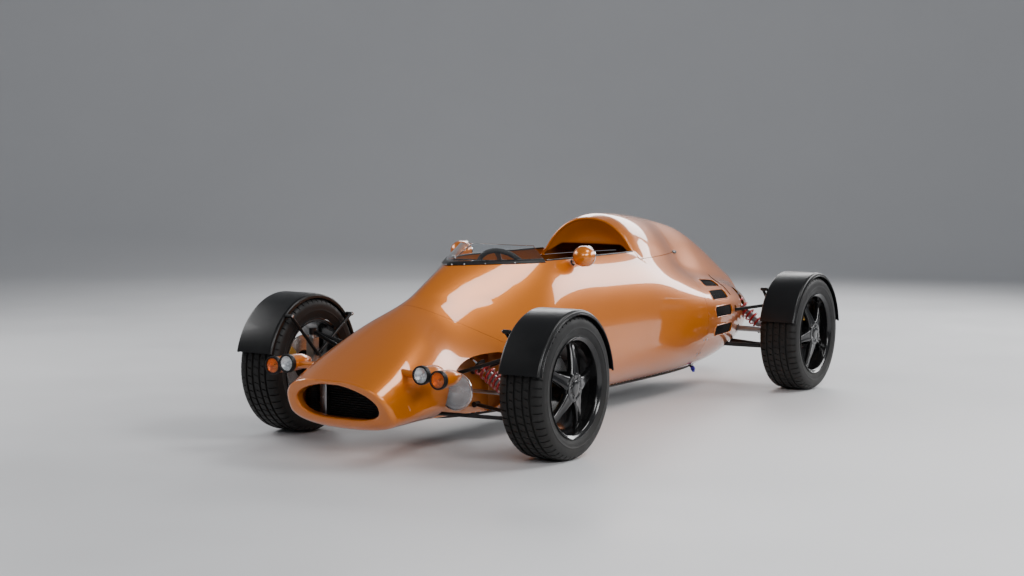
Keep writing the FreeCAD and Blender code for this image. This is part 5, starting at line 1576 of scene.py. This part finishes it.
def makeSteeringWheel():
    form = cockpitForm
    centre, low = Vector(form["wheel"]), Vector(form["columnLow"])
    axis, run = (centre - low).normalized(), (centre - low).length - 0.004
    side = Vector((0, 1, 0))
    up = axis.cross(side)
    # grip: a slightly flattened ring with finger swells, and its stitches
    rings, stitches, steps = [], [], 96
    for k in range(steps):
        angle = 2 * pi * k / steps
        way = turned(up, side, k / steps)
        swell = 1 + 0.04 * cos(12 * angle) * (1 if abs(sin(angle)) > 0.5 else 0)
        thick = form["grip"] * 0.97 * swell
        middle = centre + way * form["ring"]
        rings.append([middle + turned(way * 0.95, axis, j / 16) * thick for j in range(16)])
    for k in range(0, steps, 3):
        way, across = turned(up, side, (k + 0.5) / steps), turned(side, -up, (k + 0.5) / steps)
        middle, half = centre + way * (form["ring"] - form["grip"] * 0.90), across * 0.0022 - axis * 0.0014
        stitches.append(tubePart([middle - half, middle + half], 0.0009, "castAlloy", 6))
    parts = [loftPart(rings, "gripSuede", False, True)] + stitches
    section = ((-1, -0.001), (-1, 0.001), (-0.9, 0.0024), (0.9, 0.0024), (1, 0.001), (1, -0.001),
               (0.9, -0.0024),
               (-0.9, -0.0024))
    for k in range(3):
        way = turned(up, side, 0.5 + k / 3)
        across = axis.cross(way)
        rings = []
        for share, half in ((0.20, 0.020), (0.45, 0.0135), (0.75, 0.0120), (0.97, 0.0160)):
            middle = centre + way * (form["ring"] * share)
            rings.append([middle + across * x * half + axis * z for x, z in section])
        parts.append(loftPart(rings, "castAlloy"))
    boss = mm(-6, 0, -6, 33, 3, 33.5, 6, 31, 6, 25, 8.5, 23.5, 11.5, 20, 11.8, 0)
    screw = mm(5, 0, 5, 2.6, 7.2, 2.4, 7.6, 0)
    column = [(0.0, 0.0), (0.0, 0.0110), (run, 0.0110), (run, 0.0)]
    parts += turnedParts(centre, axis, ("trimBlack", 40, boss))
    for k in range(6):
        parts += turnedParts(centre + turned(up, side, (k + 0.5) / 6) * 0.028, axis, ("screwSteel", 10, screw))
    parts += turnedParts(low, axis, ("greySteel", 24, column))
    makePiece("steeringWheel", parts, "steering_wheel", ("steering_wheel",), 35)


def dialParts(centre, radius):
    # a dial that faces back, with ticks and a hand
    back, left, up = Vector((-1, 0, 0)), Vector((0, 1, 0)), Vector((0, 0, 1))
    face = [(0.0, 0.0), (0.0, radius), (0.0060, radius), (0.0072, radius - 0.0012), (0.0072, radius - 0.0030),
            (0.0040, radius - 0.0042), (0.0040, 0.0)]
    parts = turnedParts(centre, back, ("dashBlack", 40, face))
    for k in range(11):
        way = turned(up, -left, (26 * k - 130) / 360) * radius
        start = centre + back * 0.0044 + way * 0.66
        parts.append(tubePart([start, start + way * 0.12], 0.0007, "chrome", 6))
    way = turned(up, -left, -80 / 360) * radius
    hand = centre + back * 0.0050
    return parts + [tubePart([hand - way * 0.12, hand + way * 0.6], [0.0012, 0.0004], "springRed", 6)]


def makeDash():
    # the panel follows the body's inside, with a rolled lower edge, dials and switches
    form = cockpitForm
    x, low, high, half = form["dashX"], form["dashLow"], form["dashHigh"], Vector((form["dashHalf"], 0, 0))
    left = [skinPlace(x, low + (high - low) * k / 22, form["dashInset"]) for k in range(23)]
    outline = left + [mirrored(p) for p in reversed(left)]
    parts = [slabPart([p - half for p in outline], half * 2, "dashBlack", 0.001)]
    for y, z, radius in form["dials"]:
        parts += dialParts(Vector((x, y, z)) - half, radius)
    base = mm(0, 0, 0, 6.2, 3, 5.8, 3.4, 0)
    for k in range(5):
        for side in (1, -1):
            place = Vector((x, side * (0.125 + 0.026 * k), 0.615)) - half
            parts += turnedParts(place, (-1, 0, 0), ("screwSteel", 6, base))
            lever = [place + Vector((-0.003, 0, 0)), place + Vector((-0.017, 0, 0.005))]
            parts.append(tubePart(lever, [0.0019, 0.0028], "chrome", 10))
    edge = [Vector((x - 0.001, left[0].y * (1 - 2 * k / 20), low + 0.0045)) for k in range(21)]
    parts.append(tubePart(edge, 0.0040, "trimBlack", 10))
    makePiece("dashPanel", parts, "chassis", ("dashboard",), 30)


makeScreen()
makeEdgeTrim()
makeSteeringWheel()
makeDash()
print("cockpit made")

# repeated fasteners

fastenerForm = {
    "screw": mm(-1.2, 0, -1.2, 5.2, 0.4, 5.2, 1.4, 4.4, 1.8, 3, 0.9, 2.6, 0.9, 0),
    "rivet": mm(-1.2, 0, -1.2, 3, 0.4, 3, 1.2, 2, 1.5, 0),
    # rows of screws: place along the car and heights
    "screwRows": ((0.8346, (0.165, 0.270, 0.355)), (-0.899, (0.200, 0.270)), (-0.861, (0.200, 0.270))),
    "rivetStart": -1.22, "rivetPitch": 0.0315, "rivets": 74, "rivetRise": 0.010,
}


def makeScatterTree(name, look, form):
    # one form on every point, turned to the point's own direction
    tree = bpy.data.node_groups.new(name, "GeometryNodeTree")
    for way in ("INPUT", "OUTPUT"):
        tree.interface.new_socket("Geometry", in_out=way, socket_type="NodeSocketGeometry")
    start = addNode(tree, "NodeGroupInput").outputs["Geometry"]
    points = addNode(tree, "GeometryNodeMeshToPoints", inputs={"Mesh": start}).outputs["Points"]
    heading = addNode(tree, "GeometryNodeInputNamedAttribute", {"data_type": "FLOAT_VECTOR"},
                      {"Name": "heading"}).outputs["Attribute"]
    turn = addNode(tree, "FunctionNodeAlignRotationToVector", {"axis": "Z"}, {"Vector": heading})
    shape = addNode(tree, "GeometryNodeObjectInfo", {"transform_space": "ORIGINAL"}, {"Object": form})
    spread = addNode(tree, "GeometryNodeInstanceOnPoints", inputs={
        "Points": points, "Instance": shape.outputs["Geometry"], "Rotation": turn.outputs["Rotation"]})
    real = addNode(tree, "GeometryNodeRealizeInstances", inputs={"Geometry": spread.outputs["Instances"]})
    dress = addNode(tree, "GeometryNodeSetMaterial", inputs={
        "Geometry": real.outputs["Geometry"], "Material": looks[look]})
    addNode(tree, "NodeGroupOutput", inputs={"Geometry": dress.outputs["Geometry"]})
    return tree


def scatterPiece(name, spots, profile, steps, look):
    # spots: pairs of place and direction
    form = makePiece(name + "Form", [lathePart(profile, (0, 0, 0), (0, 0, 1), look, steps)], None)
    mesh = bpy.data.meshes.new(name)
    mesh.from_pydata([tuple(place) for place, heading in spots], [], [])
    layer = mesh.attributes.new("heading", "FLOAT_VECTOR", "POINT")
    layer.data.foreach_set("vector", [v for place, heading in spots for v in heading.normalized()])
    piece = addObject(name, mesh)
    piece.modifiers.new("scatter", "NODES").node_group = makeScatterTree(name + "Tree", look, form)
    bakeModifiers(piece)
    piece.data.set_sharp_from_angle(angle=radians(30))
    dropPiece(form)
    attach(piece, "chassis")


def bothSpots(spots):
    return spots + [(mirrored(place), mirrored(heading)) for place, heading in spots]


def makeFasteners():
    form = fastenerForm
    screws = [skinSpot(x, z) for x, heights in form["screwRows"] for z in heights]
    rivets = [skinSpot(form["rivetStart"] + form["rivetPitch"] * k, panelForm["floor"] + form["rivetRise"])
              for k in range(form["rivets"])]
    scatterPiece("panelScrews", bothSpots(screws), form["screw"], 12, "screwSteel")
    scatterPiece("floorRivets", bothSpots(rivets), form["rivet"], 8, "screwSteel")


# vents

meshForm = {
    "rimOut": 0.0016, "rim": 0.0026, "rimStep": 0.012, "overX": 0.012, "overZ": 0.010, "pitch": 0.0075,
    "lean": 0.9, "inset": 0.0066, "wire": 0.0011,
}


def rimPart(angle):
    # a bead on the skin round the vent
    out = ventAxes(angle)[0]
    outline = []
    for place in ventOutline(angle, meshForm["rimOut"]):
        spot = skinAlong(place, out)
        outline.append(spot - bodyNormal(spot)[0] * 0.0002)
    path = []
    for here, after in zip(outline, outline[1:] + outline[:1]):
        steps = max(int((after - here).length / meshForm["rimStep"]), 1)
        for i in range(steps):
            spot = here.lerp(after, i / steps)
            normal, depth = bodyNormal(spot)
            path.append(spot - normal * depth)
    return tubePart(path, meshForm["rim"], "pearlPaint", 10, True)


def wireParts(angle):
    # expanded mesh: two sets of slanted wires behind the slot
    form = meshForm
    out, up, middle = ventAxes(angle)
    half, rise = panelForm["ventLength"] / 2 + form["overX"], panelForm["ventHeight"] / 2 + form["overZ"]
    wires = []
    for lean in (form["lean"], -form["lean"]):
        for k in range(int(2 * (half + rise) / form["pitch"])):
            path = []
            for i in range(6):
                across = 2 * rise * i / 5
                x = form["pitch"] * k - half - rise + across * lean + (2 * rise if lean < 0 else 0)
                if -half <= x <= half:
                    base = middle + Vector((x, 0, 0)) + up * (across - rise)
                    path.append(skinAlong(base, out, form["inset"]))
            if len(path) > 2:
                wires.append(tubePart(path, form["wire"], "trimBlack", 4))
    return wires


def makeVents():
    rims = [rimPart(angle) for angle in panelForm["ventAngles"]]
    wires = [wire for angle in panelForm["ventAngles"] for wire in wireParts(angle)]
    makePiece("ventRims", bothSides(rims), "chassis", (), 60)
    makePiece("ventMesh", bothSides(wires), "chassis", ("vent_mesh",), 60)


# mirrors, radiator and small fittings

mirrorForm = {"place": (0.339, 0.321, 0.748), "foot": (0.339, 0.1605, 0.656), "radius": 0.046}


def makeMirrors():
    place, foot, radius = Vector(mirrorForm["place"]), Vector(mirrorForm["foot"]), mirrorForm["radius"]
    ball = mm(-31, 0, -31, 40.5, -30.5, 43, -28.5, 44.8, -24, 45.6)
    ball.append((0.0, radius))
    ball += [(along, across) for across, along in arcPoints(0, 0, radius, 0, 90, 16)[1:]]
    ring = mm(-32.2, 40, -32.2, 44, -30, 46.6, -26.2, 46.6, -25.5, 45.8, -30, 39.8)
    glass = mm(-31.8, 0, -31.8, 40.2, -31.2, 40.4, -31.1, 0)
    seat = mm(-1, 0, -1, 15, 1, 15, 2.6, 12.5, 4, 8.5, 4, 0)
    line = (foot - place).normalized()
    run = lastInside(0.0, (foot - place).length, lambda along: skinDepth(*(place + line * along)) > 0)
    end = place + line * (run + 0.0015)
    stem = [0.0075, 0.0075, 0.0075, 0.0070, 0.0066, 0.0064, 0.0066, 0.0074, 0.0080]
    parts = turnedParts(place, forward, ("pearlPaint", 56, ball), ("chrome", 56, ring, True),
                        ("chrome", 48, glass))
    parts.append(tubePart([place.lerp(end, k / 8) for k in range(9)], stem, "chrome", 20))
    parts += turnedParts(end, bodyNormal(end)[0], ("trimBlack", 28, seat))
    makePiece("roundMirrors", bothSides(parts), "chassis", ("mirrors",), 32)


radiatorForm = {
    "front": 1.569, "back": 1.529, "inset": 0.0060, "lowZ": 0.116, "highZ": 0.424, "fin": 0.0092,
    "tankIn": 0.196, "strutX": 1.5872, "strutBack": 1.5702, "strutIn": 0.1340, "strutOut": 0.1680,
    "strutLow": 0.1175, "strutHigh": 0.330, "strutTop": 0.42, "bolts": (0.150, 0.240, 0.310),
}


def roomHalf(x, z):
    # half the body's inner width at this height
    return skinPlace(x, z, radiatorForm["inset"]).y


def makeRadiator():
    form = radiatorForm
    front, lowZ, highZ = form["front"], form["lowZ"], form["highZ"]
    heights = [lowZ + (highZ - lowZ) * k / 30 for k in range(31)]
    outline = [Vector((form["back"], roomHalf(front, z) - 0.001, z)) for z in heights]
    outline += [mirrored(p) for p in reversed(outline)]
    deep = Vector((front - form["back"] - 0.012, 0, 0))
    parts = [loftPart([outline, [p + deep for p in outline]], "coreBlack")]
    z = lowZ + 0.004
    while z < highZ - 0.004:
        half = min(roomHalf(front, z - 0.003), roomHalf(front, z + 0.004)) - 0.002
        rows = mm(13, -0.6, 2.2, -3, 0, -2, 0.6, -0.8, 13, 0.8)
        fin = [[Vector((front - x, y, z + h)) for x, h in rows] for y in (-half, half)]
        parts.append(loftPart(fin, "greyCore"))
        z += form["fin"]
    tank = []
    for k in range(25):
        z = lowZ + 0.002 + (highZ - lowZ - 0.06) * k / 24
        far = roomHalf(front, z) - 0.002
        near = min(form["tankIn"], far - 0.004)
        middle = Vector((front - 0.0125, (far + near) / 2, z))
        wide, deep = Vector((0, (far - near) / 2, 0)), Vector((0.0120, 0, 0))
        tank.append([middle + turned(wide, deep, j / 12) for j in range(12)])
    parts += bothSides([loftPart(tank, "coreBlack")])
    makePiece("radiatorCore", parts, "chassis", ("radiator",), 32)


def makeStruts():
    # two upright struts ahead of the radiator, with bolts
    form = radiatorForm
    low, high = form["strutLow"], form["strutHigh"]
    reach, edge = form["strutX"] + 0.0003, form["strutOut"] + 0.0020
    while roomHalf(reach, low) < edge:
        low += 0.001
    while roomHalf(reach, high + 0.002) > edge and high < form["strutTop"]:
        high += 0.002
    corners = (form["strutBack"], form["strutIn"], low), (form["strutX"], form["strutOut"], high)
    parts = [roundedBox(*corners, 0.005, "greySteel", 4)]
    head = mm(0, 0, 0, 6, 3, 5.6, 3.6, 0)
    for z in form["bolts"]:
        middle = (form["strutIn"] + form["strutOut"]) / 2
        parts += turnedParts((form["strutX"], middle, z), forward, ("screwSteel", 6, head))
    makePiece("noseStruts", bothSides(parts), "chassis", ("nose_strut",), 30)


trimForm = {
    "latchX": -0.877, "latchZ": 0.700, "latchRows": mm(-20, 6, -16, 8, 16, 8, 20, 6), "catchX": -1.262,
    "catchLow": 0.465, "catchStep": 0.0125, "tapX": -1.02, "tapZ": 0.100, "tapAim": (0.6, 0.5, -0.62),
    "pipe": (-1.759, 0, 0.300),
}


def makeTrim():
    # latch between fairing and tail, slit catch, and a blue tap under the floor's edge
    form = trimForm
    spot, normal = skinSpot(form["latchX"], form["latchZ"], 0.001)
    along = Vector((1, 0, 0))
    across = normal.cross(along).normalized()
    section = ((-1, -0.002), (-1, 0.003), (-0.6, 0.0055), (0.6, 0.0055), (1, 0.003), (1, -0.002))
    block = [[spot + along * x + across * v * half + normal * h for v, h in section]
             for x, half in form["latchRows"]]
    stud = mm(5, 0, 5, 4.8, 6.8, 4.4, 7.2, 0)
    parts = [loftPart(block, "trimBlack")]
    parts += turnedParts(spot + along * 0.008, normal, ("screwSteel", 16, stud))
    makePiece("tailLatches", bothSides(parts), "chassis")
    slit = [skinSpot(form["catchX"], form["catchLow"] + form["catchStep"] * k, 0.0004)[0] for k in range(9)]
    makePiece("tailCatches", bothSides([tubePart(slit, 0.0022, "trimBlack", 8)]), "chassis", sharp=40)
    tap = mm(-18, 0, -18, 8.5, -10, 8.5, -9, 11.5, 2, 11.5, 3, 8.5, 14, 8, 15.5, 6, 15.5, 0)
    place = Vector((form["tapX"], skinPlace(form["tapX"], 0.140, 0.0, True).y - 0.020, form["tapZ"]))
    hose = [place, place + Vector((-0.020, -0.025, 0.012)), place + Vector((-0.050, -0.060, 0.018))]
    parts = turnedParts(place, form["tapAim"], ("blueAnodised", 18, tap))
    makePiece("coolantTap", parts + [tubePart(hose, 0.0055, "trimBlack", 12)], "chassis")


def makePipe():
    pipe = mm(0, 21.5, 0, 22.8, 1.2, 24, 12, 24, 13.5, 23.6, 299, 23.6, 300, 23.2, 300, 21.2, 2, 21.2)
    parts = turnedParts(trimForm["pipe"], forward, ("greySteel", 48, pipe, True))
    makePiece("endPipe", parts, "chassis", ("tailpipe",), 32)


makeFasteners()
makeVents()
makeMirrors()
makeRadiator()
makeStruts()
makeTrim()
makePipe()
print("fasteners, vents, mirrors and radiator made")

# padded seats

seatForm = {
    "half": 0.152, "voxel": 0.006, "pressure": 4.0, "cap": 0.011, "fill": 0.6, "pad": 0.026, "steps": 20,
    "channels": (-0.104, -0.052, 0.0, 0.052, 0.104), "channelDepth": 0.0045, "channelWidth": 0.0045,
    # for each seat: front of the base, foot of the back, top of the back
    "front": (0.305, -0.071, -0.181), "rear": (-0.385, -0.641, -0.751), "lean": (0.49, 0, 0.11),
    "shellLow": 0.150, "shellHigh": 0.636, "shellHalf": 0.174, "shellWall": 0.003,
}


def slabMesh(corners, push):
    # a slab whose faces are a little smaller than its middle
    middle = sum(corners, Vector()) / 4
    return loftPart([[middle + (p - middle) * size + push * share for p in corners]
                     for share, size in ((0.0, 0.93), (0.22, 1.0), (0.78, 1.0), (1.0, 0.93))], "blackLeather")


def puffUp(piece):
    # blows the pad up against its own cloth, then keeps every point within the cap
    remesh = piece.modifiers.new("even", "REMESH")
    remesh.mode = "VOXEL"
    remesh.voxel_size = seatForm["voxel"]
    remesh.use_smooth_shade = True
    bakeModifiers(piece)
    start = [v.co.copy() for v in piece.data.vertices]
    settings = piece.modifiers.new("air", "CLOTH").settings
    settings.use_pressure = True
    settings.uniform_pressure_force = seatForm["pressure"]
    settings.effector_weights.gravity = 0
    settings.quality = 4
    for frameNumber in range(1, seatForm["steps"] + 1):
        bpy.context.scene.frame_set(frameNumber)
    bakeModifiers(piece)
    bpy.context.scene.frame_set(1)
    for v, before in zip(piece.data.vertices, start):
        moved = v.co - before
        if moved.length > seatForm["cap"]:
            v.co = before + moved.normalized() * seatForm["cap"]


def sewChannels(piece, out):
    # sewn channels run along the pad on the side that is sat on
    shape = bmesh.new()
    shape.from_mesh(piece.data)
    bmesh.ops.subdivide_edges(shape, edges=shape.edges, cuts=1, use_grid_fill=True, smooth=0.4)
    bmesh.ops.recalc_face_normals(shape, faces=shape.faces)
    shape.normal_update()
    for v in shape.verts:
        if v.normal.dot(out) > 0.35 and abs(v.co.y) < seatForm["half"] - 0.018:
            deep = sum(exp(-((v.co.y - y) / seatForm["channelWidth"]) ** 2) for y in seatForm["channels"])
            v.co -= v.normal * seatForm["channelDepth"] * min(deep, 1)
    shape.to_mesh(piece.data)
    shape.free()
    piece.data.shade_smooth()


def makePad(name, corners, out):
    piece = makePiece(name, [slabMesh([Vector(p) for p in corners], out * seatForm["pad"])], None)
    puffUp(piece)
    sewChannels(piece, out)
    piece.data.materials.clear()
    piece.data.materials.append(looks["blackLeather"])
    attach(piece, "chassis")


def seatShell(front, foot, top):
    # moulded shell with turned-up sides under the pads
    low, high, half = seatForm["shellLow"], seatForm["shellHigh"], seatForm["shellHalf"]
    side = [(front, 0.1185), (front - 0.02, 0.1178), (foot + 0.02, 0.1180), (foot + 0.004, 0.124),
            (foot - 0.004, 0.140)]
    side += [(foot - 0.004 + (top - foot) * k / 12, low + (high - low) * k / 12) for k in range(1, 13)]
    rings = []
    for k, (x, z) in enumerate(side):
        before, after = side[max(k - 1, 0)], side[min(k + 1, len(side) - 1)]
        inward = Vector((after[1] - before[1], 0, before[0] - after[0])).normalized()
        inward = inward if inward.x + inward.z > 0 else -inward
        back = []
        for j in range(17):
            y = half * (j / 8 - 1)
            back.append(Vector((x, y, z)) + inward * (0.018 * max((abs(y) - 0.150) / 0.024, 0) ** 2))
        rings.append([p + inward * seatForm["shellWall"] for p in back] + back[::-1])
    return loftPart(rings, "trimBlack")


def makeSeats():
    half, lean = seatForm["half"], Vector(seatForm["lean"]).normalized()
    side = Vector((0, half, 0))
    for name in ("front", "rear"):
        front, foot, top = seatForm[name]
        shell = seatShell(front + 0.012, foot, top)
        makePiece(name + "SeatShell", [shell], "chassis", (name + "_seat",), 40)
        back = foot + 0.046
        corners = [(front, -half, 0.130), (back, -half, 0.128), (back, half, 0.128), (front, half, 0.130)]
        makePad(name + "SeatBase", corners, Vector((0, 0, 1)))
        low = Vector((foot, 0, 0.150)) + lean * 0.014 + Vector((-0.005, 0, 0.020))
        high = Vector((top, 0, 0.640)) + lean * 0.014 - Vector((-0.004, 0, 0.018))
        makePad(name + "SeatBack", [low - side, high - side * 0.9, high + side * 0.9, low + side], lean)


makeSeats()
print("seats made")
